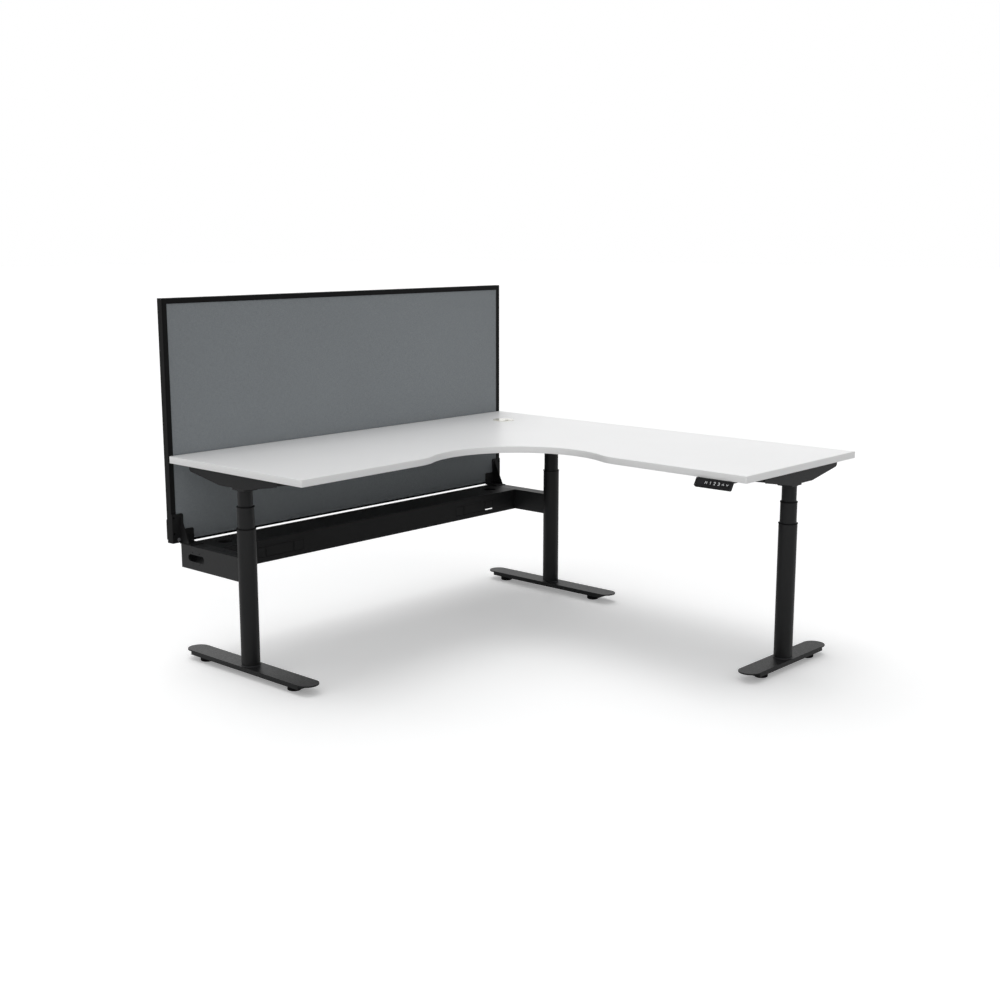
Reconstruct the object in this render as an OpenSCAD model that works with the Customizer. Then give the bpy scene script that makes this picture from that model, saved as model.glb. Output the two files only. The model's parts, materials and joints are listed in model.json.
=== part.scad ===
// Corner workstation with a sit-stand desktop on three telescopic columns
// and a fabric screen that stands on a cable duct behind the main wing.
// Millimetres. +Z is up, the floor is at z = 0 and the origin is under the
// middle of the whole object. The screen stands at the back, along X.
// Inside at_corner() the desktop's back corner is at x = 0, y = 0: the main
// wing runs to -X and the return wing to -Y.

/* [Desktop] */
// Length of the wing in front of the screen
main_length = 1800; // [1600:50:2000]
// Length of the return wing
return_length = 1800; // [1600:50:2000]
// Depth of each wing at its free end
wing_depth = 750; // [740:2:780]
// Depth of each wing at its waist, beside the seat cove
waist_depth = 675; // [655:5:695]
// Radius of the seat cove in the inner corner
cove_radius = 325; // [300:5:350]
// How much deeper each wing is at its shoulder than at its waist
shoulder_rise = 55; // [20:1:120]
// Radius of the shoulder curve
shoulder_radius = 200; // [150:10:250]
// Thickness of the board
top_thickness = 25; // [18:1:32]
// Thickness of the strip glued round the board's edge
edge_band_t = 2; // [1:0.5:3]
// Height of the top surface above the floor, as it stands in the picture
desk_height = 769; // [745:1:800]

/* [Cable grommet] */
// Distance of the grommet's centre from both back edges
grommet_offset = 227; // [200:1:250]
// Diameter of the hole in the board
grommet_hole_d = 80; // [60:1:90]
// Width of the flange that rests on the board
grommet_flange_w = 6; // [4:0.5:10]
// Height of the flange above the board
grommet_flange_h = 2.5; // [1.5:0.5:4]
// Wall of the sleeve in the hole
grommet_wall = 2.5; // [1.5:0.5:4]
// Thickness of the turning cap
grommet_cap_t = 3; // [2:0.5:4]
// Width of the cable notch in the cap
grommet_notch_w = 22; // [12:1:30]
// Turn of the cap, from +X towards +Y, as it stands in the picture
grommet_cap_turn = -104; // [-180:4:180]

/* [Columns] */
// Distance of the column axes from the wing ends and from the return wing's back edge
column_inset = 62; // [55:1:75]
// Distance of the column axes from the back edge of their wing
column_setback = 364; // [350:2:380]
// Outside diameter of the outer tubes
outer_tube_d = 68; // [67:0.5:76]
// Outside diameter of the middle tubes
middle_tube_d = 61; // [60:0.5:62]
// Outside diameter of the inner tubes
inner_tube_d = 54; // [50:0.5:55]
// Wall of every tube
tube_wall = 2; // [1.5:0.1:2.5]
// Length of inner tube that shows between support and middle tube
inner_reveal = 59; // [53:1:80]
// Length of middle tube that shows above the outer tube
middle_reveal = 79; // [52:1:110]
// Height of a middle tube's lower end above the column base
middle_base_gap = 52; // [50:1:80]
// Height of an inner tube's lower end above the column base
inner_base_gap = 102; // [98:1:140]
// Thickness of the disc that closes an outer tube at the foot
column_base_t = 6; // [5:0.5:10]
// Length of a guide bush inside its tube
bush_length = 34; // [20:1:60]
// Height of a guide bush's lip on top of its tube
bush_lip_h = 3; // [2:0.5:5]
// Overhang of the lip past the tube
bush_lip_overhang = 1.5; // [1:0.5:3]
// Radial clearance of everything that slides or turns in a bore
running_clearance = 0.05; // [0.03:0.01:0.09]
// Diameter of the lifting screws
lift_screw_d = 14; // [12:0.5:18]
// Height of a lifting screw's lower end above the column base
screw_base_gap = 112; // [100:1:150]

/* [Under the desktop] */
// Width of the folded support arms
support_w = 60; // [59:0.5:70]
// Reach of a support arm behind its column
support_back = 286; // [240:2:310]
// Reach of a support arm in front of its column
support_front = 217; // [180:1:290]
// Depth of a support arm over its column
support_depth = 56; // [55:1:75]
// Depth of a support arm at its tips
support_tip_depth = 26; // [18:1:35]
// Reach of the arm's deep part behind the column axis
support_deep_back = 108; // [80:1:130]
// Reach of the arm's deep part in front of the column axis
support_deep_front = 40; // [39:1:80]
// Size of the cut-off corners at the arm's tips
support_tip_cut = 7; // [2:0.5:10]
// Sheet thickness of the support arms
support_t = 3; // [2:0.5:4]
// Thickness of the head plate on an inner tube
head_plate_t = 6; // [4:0.5:8]
// Length of the head plate along the support arm
head_plate_length = 76; // [70:1:100]
// Length of the gear housing along the support arm
gear_length = 76; // [60:1:78]
// Diameter of the lift motors
motor_d = 46; // [40:1:50]
// Length of the lift motors
motor_length = 95; // [70:1:120]
// Diameter of a motor's neck
motor_neck_d = 20; // [16:1:24]
// Height of the frame rails
rail_h = 40; // [30:1:50]
// Width of the frame rails
rail_w = 25; // [20:1:30]
// Wall of the frame rails
rail_wall = 2; // [1.5:0.5:3]
// Distance between the axes of two parallel rails
rail_spread = 130; // [115:5:160]
// Length of the control box
control_length = 230; // [180:5:280]
// Width of the control box
control_w = 86; // [70:1:100]
// Height of the control box
control_h = 36; // [28:1:45]
// Distance of the control box from the main wing's back edge
control_setback = 175; // [150:5:185]

/* [Feet] */
// Length of the left and corner feet
foot_length = 710; // [650:10:720]
// Length of the return wing's foot
return_foot_length = 530; // [480:10:640]
// Width of the feet
foot_width = 83; // [70:1:90]
// Thickness of a foot's top plate
foot_plate_t = 5; // [4:0.5:8]
// Height of the hollow body below the plate
foot_body_h = 13; // [10:1:20]
// Overhang of the plate past the body at the sides
foot_side_overhang = 1.5; // [1:0.5:5]
// Overhang of the plate past the body at the ends
foot_end_overhang = 46; // [40:1:60]
// Wall of the hollow body
foot_wall = 4; // [3:0.5:6]
// Distance of the rear glide from the foot's rear tip
rear_glide_inset = 90; // [80:1:110]
// Distance of the front glide from the foot's front tip
front_glide_inset = 112; // [80:1:150]
// Distance of the front glide from the return foot's front tip
return_glide_inset = 117; // [80:1:150]
// Diameter of a glide's pad
glide_d = 50; // [30:1:60]
// Height of a glide's pad
glide_h = 15; // [12:0.5:26]
// Diameter of a glide's stud
glide_stud_d = 8; // [6:1:10]
// Height of the nut between pad and foot
glide_nut_h = 6.2; // [5:0.2:8]
// Width of that nut across its flats
glide_nut_w = 13; // [11:1:17]
// Gap between the nut and the foot
glide_stop_gap = 0.3; // [0.2:0.1:0.5]
// Diameter of the screws that hold a column on its foot
column_screw_d = 6; // [5:0.5:8]
// Diameter of the circle of these screws
column_screw_circle = 44; // [36:1:46]

/* [Cable duct] */
// Height of the duct's top above the floor
duct_top = 437; // [400:1:450]
// Height of the duct
duct_h = 88; // [84:1:110]
// Depth of the duct from front to back
duct_depth = 172; // [160:1:190]
// Distance of the duct's back from the desktop's back edge
duct_back_gap = 5; // [2:0.5:12]
// Sheet thickness of the duct
duct_t = 2; // [1.5:0.5:3]
// Width of the lips along the duct's open underside
duct_lip_w = 14; // [8:1:24]
// Diameter of the cable holes in the top
duct_hole_d = 54; // [40:1:60]
// Distance of the cable holes from the duct's ends
duct_hole_inset = 78; // [50:1:110]
// Distance of the outlet blanks' middle from the duct's ends
outlet_inset = 268; // [250:1:340]
// Width of the long blank in the middle of a group
outlet_long_w = 132; // [100:1:160]
// Width and height of the short blanks beside it
outlet_short_w = 48; // [40:1:52]
// Height of the blanks
outlet_h = 41; // [36:1:46]
// Distance from the duct's top to the middle of the blanks
outlet_drop = 47; // [42:1:52]
// Gap round each blank
outlet_gap = 0.4; // [0.2:0.1:0.6]
// Web of sheet left between two blanks
outlet_web = 3; // [2:0.5:5]
// Height of the open slit under the last blank
outlet_slit_h = 5; // [5:0.5:12]

/* [Duct arms] */
// Width of the arms that carry the duct
arm_w = 58; // [54:1:60]
// Sheet thickness of the arms
arm_t = 3; // [2:0.5:4]
// Width of the seam along an arm's top
arm_seam = 2; // [1:0.5:4]
// Length of the cable slot in an arm
arm_slot_length = 98; // [70:1:110]
// Height of the cable slot
arm_slot_h = 27; // [20:1:32]
// Distance of the slot's middle from the arm's rear end
arm_slot_inset = 91; // [75:1:105]
// Spacing of the four small holes along the arm
arm_hole_pitch_y = 40; // [30:1:60]
// Spacing of the four small holes up and down
arm_hole_pitch_z = 42; // [38:1:50]
// Diameter of the four small holes
arm_hole_d = 4; // [3:0.5:6]

/* [Screen] */
// Height of the screen
screen_height = 900; // [700:2:1000]
// Gap between the desktop's back edge and the screen
screen_gap = 2; // [1:0.5:6]
// Height of the screen's lower edge above the duct
screen_lift = 4; // [4:0.5:12]
// Depth of the screen's rails from front to back
screen_rail_depth = 30; // [28:1:36]
// Width of the upright and top rails as seen from the front
screen_rail_w = 20; // [14:1:24]
// Height of the bottom rail
screen_bottom_rail_h = 8; // [8:0.5:16]
// Thickness of the screen's core board
screen_core_t = 22; // [16:1:23]
// Thickness of the fabric on each face
screen_fabric_t = 1.5; // [1:0.25:2]
// Gap between the covered board and the slot it sits in
screen_slot_gap = 0.15; // [0.1:0.05:0.3]
// Depth of the slot in the rails
screen_slot_depth = 7; // [5:0.5:8]
// Depth of the slot in the bottom rail
screen_bottom_slot_depth = 4; // [3:0.5:5]
// Radius of the rails' outer corners
screen_corner_r = 2; // [2:0.5:6]
// Width and depth of the fine groove in the rails' faces
screen_groove = 1; // [0.6:0.1:1.4]

/* [Screen brackets] */
// Sheet thickness of the brackets
bracket_t = 3; // [2:0.5:4]
// Width of a bracket's tall plate
bracket_w = 50; // [40:1:58]
// Height of the tall plate above the duct
bracket_h = 113; // [95:1:130]
// Width of a bracket with its low tab
bracket_tab_w = 95; // [85:1:110]
// Height of the low tab above the duct
bracket_tab_h = 53; // [40:1:70]
// Distance of the gusset from the screen's side edge
bracket_gusset_inset = 38; // [37:1:46]
// Distance of the gusset's tip from the top of the tall plate
bracket_gusset_drop = 3; // [0:1:40]
// Reach of the gusset in front of the desktop's back edge
bracket_gusset_reach = 52; // [30:1:55]
// Reach of the bracket's base plate in front of the desktop's back edge
bracket_base_reach = 65; // [55:1:80]
// Rounding of the bracket's corners
bracket_corner_r = 7; // [3:0.5:10]
// Height of the clamp plates behind the screen
clamp_plate_h = 81; // [70:1:110]
// Height of a clamp plate's middle above the duct
clamp_plate_rise = 53; // [48:1:70]
// Distance between the two screws of a clamp plate
clamp_screw_pitch = 48; // [30:1:56]
// Distance of the rail screws from the screen's side edge
bracket_bolt_inset = 7.5; // [6:0.5:8]
// Diameter of the rail screws
bracket_bolt_d = 4; // [3:0.5:5]
// Length of the rail screws inside the rail
bracket_bolt_bite = 13; // [8:0.5:13.5]
// Height of a bracket's lower screw above the duct
bracket_bolt_low = 40; // [30:1:50]
// Distance between a bracket's two screws
bracket_bolt_pitch = 60; // [45:1:65]
// Diameter of the round cap on each bracket
bracket_cap_d = 14; // [10:1:16]
// Distance of the round cap from the screen's side edge
bracket_cap_inset = 28; // [20:1:28]

/* [Handset] */
// Length of the handset along the wing's edge
handset_length = 146; // [137:1:170]
// Height of the handset
handset_h = 31; // [29:1:38]
// Distance of the handset's middle from the return wing's end
handset_from_end = 128; // [100:0.5:200]
// Depth of the handset's flange under the desktop
handset_depth = 54; // [40:1:70]
// Thickness of that flange
handset_flange_t = 7; // [5:0.5:10]
// Thickness of the handset's panel behind its face
handset_panel_t = 13; // [12:0.5:20]
// Distance by which the face's upper edge stands out in front of the wing
handset_overhang = 2; // [0:0.5:6]
// Angle by which its face leans back
handset_tilt = 32; // [20:1:36]
// Angle by which its end beside the last key narrows towards the back
handset_end_taper = 30; // [10:1:36]
// Width of the six keys
key_w = 12; // [9:0.5:13]
// Height of the six keys
key_h = 14; // [11:0.5:17]
// Distance from key to key
key_pitch = 17.2; // [15:0.1:17.5]
// Height of the keys above the face
key_proud = 1.3; // [1.2:0.1:2]
// Thickness of the keys
key_t = 4; // [3:0.5:5]
// Gap round each key
key_gap = 0.3; // [0.3:0.1:0.6]
// Depth of free space under each key
key_travel_room = 1.6; // [1.3:0.1:2.5]
// Diameter of the stem that guides each key
key_stem_d = 4; // [3:0.5:6]
// Length of the stem
key_stem_length = 4; // [3:0.5:5]
// Length of the display window
window_length = 24; // [18:1:25]
// Height of the display window
window_h = 16; // [12:1:18]

/* [Hidden] */
$fn = 64;

// Colours
steel_colour = [0.22, 0.23, 0.24];
dark_colour = [0.10, 0.10, 0.11];
board_colour = [0.90, 0.90, 0.89];
grommet_colour = [0.86, 0.85, 0.81];
fabric_colour = [0.43, 0.45, 0.47];
metal_colour = [0.55, 0.56, 0.58];
cap_colour = [0.70, 0.70, 0.70];

// Sizes and heights that follow from the sizes above
shoulder_depth = waist_depth + shoulder_rise;
board_bottom = desk_height - top_thickness;
support_bottom = board_bottom - support_depth;
head_bottom = support_bottom - head_plate_t;
middle_top = head_bottom - inner_reveal;
outer_top = middle_top - middle_reveal;
foot_underside = glide_h + glide_nut_h + glide_stop_gap;
foot_top = foot_underside + foot_body_h + foot_plate_t;
column_base = foot_top + column_base_t;
screen_bottom = duct_top + screen_lift;
screen_top = screen_bottom + screen_height;

// Places of the columns, from the desktop's back corner
left_post_x = column_inset - main_length;
return_post_y = column_inset - return_length;

// The whole object's reach behind the desktop, for the origin
bolt_head_h = 2.4;
bolt_head_d = 7;
rear_reach = screen_gap + screen_rail_depth + bracket_t + bolt_head_h;
origin_x = main_length / 2;
origin_y = (return_length - rear_reach) / 2;

// A cut runs this much past the faces that it opens
cut = 1;

module at_corner() {
    translate([origin_x, origin_y, 0]) children();
}

// Each post's frame has +Y towards the back of its wing
module at_left_post() {
    at_corner() translate([left_post_x, -column_setback, 0]) children();
}

module at_corner_post() {
    at_corner() translate([-column_inset, -column_setback, 0]) children();
}

module at_return_post() {
    at_corner() translate([-column_setback, return_post_y, 0]) rotate([0, 0, -90]) children();
}

module at_every_post() {
    at_left_post() children();
    at_corner_post() children();
    at_return_post() children();
}

// A long shape with round ends, along Y
module stadium(length, width) {
    square([width, length - width], center = true);
    for (end = [-1, 1]) translate([0, end * (length - width) / 2]) circle(d = width);
}

// A rectangle with rounded corners, centred
module rounded_rect(width, height, r) {
    square([width, height - 2 * r], center = true);
    square([width - 2 * r, height], center = true);
    for (sx = [-1, 1], sy = [-1, 1])
        translate([sx * (width / 2 - r), sy * (height / 2 - r)]) circle(r = r);
}

module ring(outside_d, inside_d, bottom, top) {
    translate([0, 0, bottom]) difference() {
        cylinder(d = outside_d, h = top - bottom);
        translate([0, 0, -cut]) cylinder(d = inside_d, h = top - bottom + 2 * cut);
    }
}

// Feet and glides

// Along a foot from its column: the rear glide, then the front glide
main_glides = [foot_length / 2 - rear_glide_inset, front_glide_inset - foot_length / 2];
return_glides = [return_foot_length / 2 - rear_glide_inset,
    return_glide_inset - return_foot_length / 2];

module foot(length, glides) {
    body_length = length - 2 * foot_end_overhang;
    body_w = foot_width - 2 * foot_side_overhang;
    boss_wall = 6;
    boss_d = glide_stud_d + 2 * boss_wall;
    stud_cover = 2;
    head_gap = 0.5;
    difference() {
        union() {
            translate([0, 0, foot_top - foot_plate_t])
                linear_extrude(foot_plate_t) stadium(length, foot_width);
            translate([0, 0, foot_underside])
                linear_extrude(foot_body_h) square([body_w, body_length], center = true);
        }
        translate([0, 0, foot_underside - cut])
            linear_extrude(foot_body_h + cut) difference() {
                square([body_w - 2 * foot_wall, body_length - 2 * foot_wall], center = true);
                square([foot_width, outer_tube_d], center = true);
                for (y = glides) translate([0, y]) circle(d = boss_d);
            }
        for (y = glides) translate([0, y, foot_underside - cut])
            cylinder(d = glide_stud_d + 2 * running_clearance,
                h = foot_top - foot_underside - stud_cover + cut);
        column_screw_places() {
            translate([0, 0, foot_underside - cut])
                cylinder(d = column_screw_d, h = foot_top);
            translate([0, 0, foot_underside - cut])
                cylinder(d = column_head_d + 2 * head_gap, h = foot_body_h + cut);
        }
    }
}

head_width_ratio = 1.7;
head_height_ratio = 0.6;
column_head_d = column_screw_d * head_width_ratio;
column_head_h = column_screw_d * head_height_ratio;

module column_screw_places() {
    for (turn = [45:90:315])
        rotate([0, 0, turn]) translate([column_screw_circle / 2, 0, 0]) children();
}

module column_screws() {
    at_every_post() column_screw_places() {
        translate([0, 0, foot_top - foot_plate_t - column_head_h])
            cylinder(d = column_head_d, h = column_head_h);
        translate([0, 0, foot_top - foot_plate_t])
            cylinder(d = column_screw_d, h = foot_plate_t + column_base_t);
    }
}

module glide(place) {
    chamfer = 2.5;
    stud_drop = 4;
    stud_top = foot_top - stud_drop;
    color(dark_colour) translate([0, place, 0]) union() {
        cylinder(d1 = glide_d - 2 * chamfer, d2 = glide_d, h = chamfer);
        translate([0, 0, chamfer]) cylinder(d = glide_d, h = glide_h - chamfer);
        translate([0, 0, glide_h]) cylinder(d = glide_nut_w / cos(30), h = glide_nut_h, $fn = 6);
        translate([0, 0, glide_h]) cylinder(d = glide_stud_d, h = stud_top - glide_h);
    }
}

module left_foot() {
    color(steel_colour) at_left_post() foot(foot_length, main_glides);
}

module corner_foot() {
    color(steel_colour) at_corner_post() foot(foot_length, main_glides);
}

module return_foot() {
    color(steel_colour) at_return_post() foot(return_foot_length, return_glides);
}

module left_rear_glide() {
    at_left_post() glide(main_glides[0]);
}

module left_front_glide() {
    at_left_post() glide(main_glides[1]);
}

module corner_rear_glide() {
    at_corner_post() glide(main_glides[0]);
}

module corner_front_glide() {
    at_corner_post() glide(main_glides[1]);
}

module return_rear_glide() {
    at_return_post() glide(return_glides[0]);
}

module return_front_glide() {
    at_return_post() glide(return_glides[1]);
}

// Telescopic columns

module outer_tube() {
    color(steel_colour) {
        difference() {
            union() {
                ring(outer_tube_d, outer_tube_d - 2 * tube_wall, foot_top, outer_top - bush_lip_h);
                translate([0, 0, foot_top])
                    cylinder(d = outer_tube_d - tube_wall, h = column_base_t);
            }
            column_screw_places() translate([0, 0, foot_top - cut])
                cylinder(d = column_screw_d, h = column_base_t + 2 * cut);
        }
    }
}

module middle_tube() {
    color(steel_colour) ring(middle_tube_d, middle_tube_d - 2 * tube_wall,
        column_base + middle_base_gap, middle_top - bush_lip_h);
}

module inner_tube() {
    hole_gap = 4;
    plate_hole_d = lift_screw_d + 2 * hole_gap;
    color(steel_colour) difference() {
        union() {
            ring(inner_tube_d, inner_tube_d - 2 * tube_wall,
                column_base + inner_base_gap, head_bottom);
            translate([0, 0, head_bottom]) linear_extrude(head_plate_t)
                rounded_rect(support_w, head_plate_length, bracket_corner_r);
        }
        translate([0, 0, head_bottom - cut]) cylinder(d = plate_hole_d, h = head_plate_t + 2 * cut);
    }
}

// A plastic ring in a tube's mouth, with a lip on top: the next tube slides in it
module guide_bush(tube_d, sliding_d, top) {
    color(dark_colour) difference() {
        union() {
            translate([0, 0, top - bush_lip_h])
                cylinder(d = tube_d + 2 * bush_lip_overhang, h = bush_lip_h);
            translate([0, 0, top - bush_lip_h - bush_length])
                cylinder(d = tube_d - 2 * tube_wall, h = bush_length);
        }
        translate([0, 0, top - bush_lip_h - bush_length - cut])
            cylinder(d = sliding_d + 2 * running_clearance, h = bush_length + bush_lip_h + 2 * cut);
    }
}

module outer_bushes() {
    at_every_post() guide_bush(outer_tube_d, middle_tube_d, outer_top);
}

module middle_bush() {
    guide_bush(middle_tube_d, inner_tube_d, middle_top);
}

screw_journal = 22;

module lift_screw() {
    color(metal_colour) translate([0, 0, column_base + screw_base_gap])
        cylinder(d = lift_screw_d,
            h = support_bottom + screw_journal - column_base - screw_base_gap);
}

module left_outer_tube() {
    at_left_post() outer_tube();
}

module corner_outer_tube() {
    at_corner_post() outer_tube();
}

module return_outer_tube() {
    at_return_post() outer_tube();
}

module left_middle_tube() {
    at_left_post() middle_tube();
}

module corner_middle_tube() {
    at_corner_post() middle_tube();
}

module return_middle_tube() {
    at_return_post() middle_tube();
}

module left_middle_bush() {
    at_left_post() middle_bush();
}

module corner_middle_bush() {
    at_corner_post() middle_bush();
}

module return_middle_bush() {
    at_return_post() middle_bush();
}

module left_inner_tube() {
    at_left_post() inner_tube();
}

module corner_inner_tube() {
    at_corner_post() inner_tube();
}

module return_inner_tube() {
    at_return_post() inner_tube();
}

module left_lift_screw() {
    at_left_post() lift_screw();
}

module corner_lift_screw() {
    at_corner_post() lift_screw();
}

module return_lift_screw() {
    at_return_post() lift_screw();
}

// Gear housings sit inside the support arms, and the motors beside them

motor_gap = 3;
motor_z = board_bottom - support_t - motor_gap - motor_d / 2;
gear_w = support_w - 2 * support_t;

// side is 1 where the motor lies on the post's +X side, and -1 on its -X side
module gear_housing(side) {
    neck_depth = 12;
    journal_gap = 0.5;
    difference() {
        translate([-gear_w / 2, -gear_length / 2, support_bottom])
            cube([gear_w, gear_length, support_depth - support_t]);
        translate([0, 0, support_bottom - cut])
            cylinder(d = lift_screw_d + 2 * running_clearance, h = screw_journal + cut + journal_gap);
        translate([side * (gear_w / 2 - neck_depth), 0, motor_z])
            rotate([0, side * 90, 0]) cylinder(d = motor_neck_d, h = neck_depth + cut);
    }
}

module motor(side) {
    neck_in = 11;
    end_cap_h = 10;
    end_cap_step = 2.5;
    translate([side * support_w / 2, 0, motor_z]) rotate([0, side * 90, 0]) {
        cylinder(d = motor_d, h = motor_length - end_cap_h);
        translate([0, 0, motor_length - end_cap_h]) cylinder(d = motor_d - 2 * end_cap_step, h = end_cap_h);
        translate([0, 0, -support_t - neck_in]) cylinder(d = motor_neck_d, h = support_t + neck_in);
    }
}

module gear_housings() {
    color(dark_colour) {
        at_left_post() gear_housing(1);
        at_corner_post() gear_housing(-1);
        at_return_post() gear_housing(-1);
    }
}

module lift_motors() {
    color(metal_colour) {
        at_left_post() motor(1);
        at_corner_post() motor(-1);
        at_return_post() motor(-1);
    }
}

// Support arms: folded channels, deep over the column and shallow at the tips

module support_profile() {
    polygon([
        [-support_front, 0],
        [support_back, 0],
        [support_back, support_tip_cut - support_tip_depth],
        [support_back - support_tip_cut, -support_tip_depth],
        [support_deep_back, -support_depth],
        [-support_deep_front, -support_depth],
        [support_tip_cut - support_front, -support_tip_depth],
        [-support_front, support_tip_cut - support_tip_depth]]);
}

support_screw_d = 5;
support_screw_inset = 22;
support_screw_bite = 14;
neck_gap = 1;

module support(side) {
    color(steel_colour) difference() {
        translate([-support_w / 2, 0, board_bottom]) rotate([90, 0, 90])
            linear_extrude(support_w) support_profile();
        translate([0, (support_back - support_front) / 2, board_bottom - support_t - support_depth])
            linear_extrude(support_depth)
                square([gear_w, support_back + support_front - 2 * support_t], center = true);
        translate([side * support_w / 2, 0, motor_z]) rotate([0, 90, 0])
            cylinder(d = motor_neck_d + 2 * neck_gap, h = 3 * support_t, center = true);
        support_screw_places() translate([0, 0, board_bottom - support_t - cut])
            cylinder(d = support_screw_d, h = support_t + 2 * cut);
    }
}

module support_screw_places() {
    for (y = [support_back - support_screw_inset, support_back / 2,
            -support_front / 2, support_screw_inset - support_front])
        translate([0, y, 0]) children();
}

module left_support() {
    at_left_post() support(1);
}

module corner_support() {
    at_corner_post() support(-1);
}

module return_support() {
    at_return_post() support(-1);
}

module rail(length) {
    difference() {
        cube([length, rail_w, rail_h]);
        translate([-cut, rail_wall, rail_wall])
            cube([length + 2 * cut, rail_w - 2 * rail_wall, rail_h - 2 * rail_wall]);
    }
}

main_rail_start = left_post_x + support_w / 2;
main_rail_end = -column_inset - support_w / 2;
return_rail_start = -column_setback - rail_spread / 2 - rail_w / 2;
return_rail_end = return_post_y + support_w / 2;

module frame_rails() {
    color(steel_colour) at_corner() for (side = [-1, 1]) {
        offset_y = -column_setback + side * rail_spread / 2;
        translate([main_rail_start, offset_y - rail_w / 2, board_bottom - rail_h])
            rail(main_rail_end - main_rail_start);
        translate([offset_y + rail_w / 2, return_rail_end, board_bottom - rail_h])
            rotate([0, 0, 90]) rail(return_rail_start - return_rail_end);
    }
}

module control_box() {
    corner_r = 4;
    color(dark_colour) at_corner()
        translate([-main_length / 2, -control_setback - control_w / 2, board_bottom - control_h])
            linear_extrude(control_h) rounded_rect(control_length, control_w, corner_r);
}

// Desktop

// Along its wing (s) and across it (d), the user's edge is the cove's arc,
// then the shoulder's arc, which touch, then a straight run to the wing's end
cove_c = waist_depth + cove_radius;
shoulder_c = shoulder_depth - shoulder_radius;
shoulder_s = cove_c + sqrt(pow(cove_radius + shoulder_radius, 2) - pow(cove_c - shoulder_c, 2));
shoulder = [shoulder_s, shoulder_c];
cove = [cove_c, cove_c];

// Direction of the straight run's normal, from the shoulder's centre
function run_normal(length) =
    let (across = [length, wing_depth] - shoulder)
    atan2(across[1], across[0]) + acos(shoulder_radius / norm(across));

// Start and end of the straight run, with the outline drawn back by inset
function run_start(length, inset) =
    let (turn = run_normal(length))
    shoulder + (shoulder_radius - inset) * [cos(turn), sin(turn)];

function run_end(length, inset) =
    let (start = run_start(length, inset))
    [length - inset, start[1] - (length - inset - start[0]) / tan(run_normal(length))];

function across(place) = [place[1], place[0]];

// The part of the shoulder's disc between the cove and the straight run
module shoulder_sector(length, inset) {
    overlap = 5;
    to_cove = cove - shoulder;
    touch = atan2(to_cove[1], to_cove[0]) + overlap;
    turn = run_normal(length) - overlap;
    reach = 2 * shoulder_radius;
    intersection() {
        translate(shoulder) circle(r = shoulder_radius - inset);
        polygon([
            shoulder,
            shoulder + reach * [cos(turn), sin(turn)],
            shoulder + reach * [cos(touch), sin(touch)]]);
    }
}

// The board's block, drawn back by inset all round
module desktop_block(inset, height) {
    rotate([0, 0, 180]) {
        linear_extrude(height) difference() {
            polygon([
                [inset, inset],
                [main_length - inset, inset],
                run_end(main_length, inset),
                run_start(main_length, inset),
                shoulder,
                cove,
                across(shoulder),
                across(run_start(return_length, inset)),
                across(run_end(return_length, inset)),
                [inset, return_length - inset]]);
            translate(cove) circle(r = cove_radius + inset);
        }
        linear_extrude(height) shoulder_sector(main_length, inset);
        mirror([1, -1, 0]) linear_extrude(height) shoulder_sector(return_length, inset);
    }
}

module desktop() {
    color(board_colour) difference() {
        at_corner() translate([0, 0, board_bottom]) difference() {
            desktop_block(edge_band_t, top_thickness);
            translate([-grommet_offset, -grommet_offset, -cut])
                cylinder(d = grommet_hole_d, h = top_thickness + 2 * cut);
        }
        at_every_post() support_screw_places() translate([0, 0, board_bottom - cut])
            cylinder(d = support_screw_d, h = support_screw_bite + cut);
    }
}

module edge_band() {
    color(board_colour) at_corner() translate([0, 0, board_bottom]) difference() {
        desktop_block(0, top_thickness);
        translate([0, 0, -cut]) desktop_block(edge_band_t, top_thickness + 2 * cut);
    }
}

// Pan-head screws that hold the support arms under the board
module desktop_screws() {
    head_d = 9;
    head_h = 2.5;
    color(metal_colour) at_every_post() support_screw_places()
        translate([0, 0, board_bottom - support_t]) {
            translate([0, 0, -head_h]) cylinder(d = head_d, h = head_h);
            cylinder(d = support_screw_d, h = support_t + support_screw_bite);
        }
}

// Cable grommet: a flanged sleeve and a cap that turns on the sleeve's ledge

cap_room_d = grommet_hole_d - 2 * grommet_wall;
cap_ledge_w = 4;

module at_grommet() {
    at_corner() translate([-grommet_offset, -grommet_offset, 0]) children();
}

module grommet_liner() {
    flange_top = desk_height + grommet_flange_h;
    color(grommet_colour) at_grommet() difference() {
        union() {
            translate([0, 0, desk_height])
                cylinder(d = grommet_hole_d + 2 * grommet_flange_w, h = grommet_flange_h);
            translate([0, 0, board_bottom]) cylinder(d = grommet_hole_d, h = top_thickness);
        }
        translate([0, 0, flange_top - grommet_cap_t]) cylinder(d = cap_room_d, h = grommet_cap_t + cut);
        translate([0, 0, board_bottom - cut])
            cylinder(d = cap_room_d - 2 * cap_ledge_w, h = top_thickness + grommet_flange_h + 2 * cut);
    }
}

module grommet_cap() {
    cap_d = cap_room_d - 2 * running_clearance;
    color(grommet_colour) at_grommet() rotate([0, 0, grommet_cap_turn])
        translate([0, 0, desk_height + grommet_flange_h - grommet_cap_t + running_clearance])
            linear_extrude(grommet_cap_t) difference() {
                circle(d = cap_d);
                translate([cap_d / 2, 0]) square([2 * grommet_notch_w, grommet_notch_w], center = true);
            }
}

// Cable duct: a channel with its open side down, between two arms

duct_y_back = -duct_back_gap;
duct_y_front = duct_y_back - duct_depth;
duct_x_left = left_post_x + arm_w / 2;
duct_x_right = -column_inset - arm_w / 2;
duct_length = duct_x_right - duct_x_left;
outlet_z = duct_top - outlet_drop;

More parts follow.
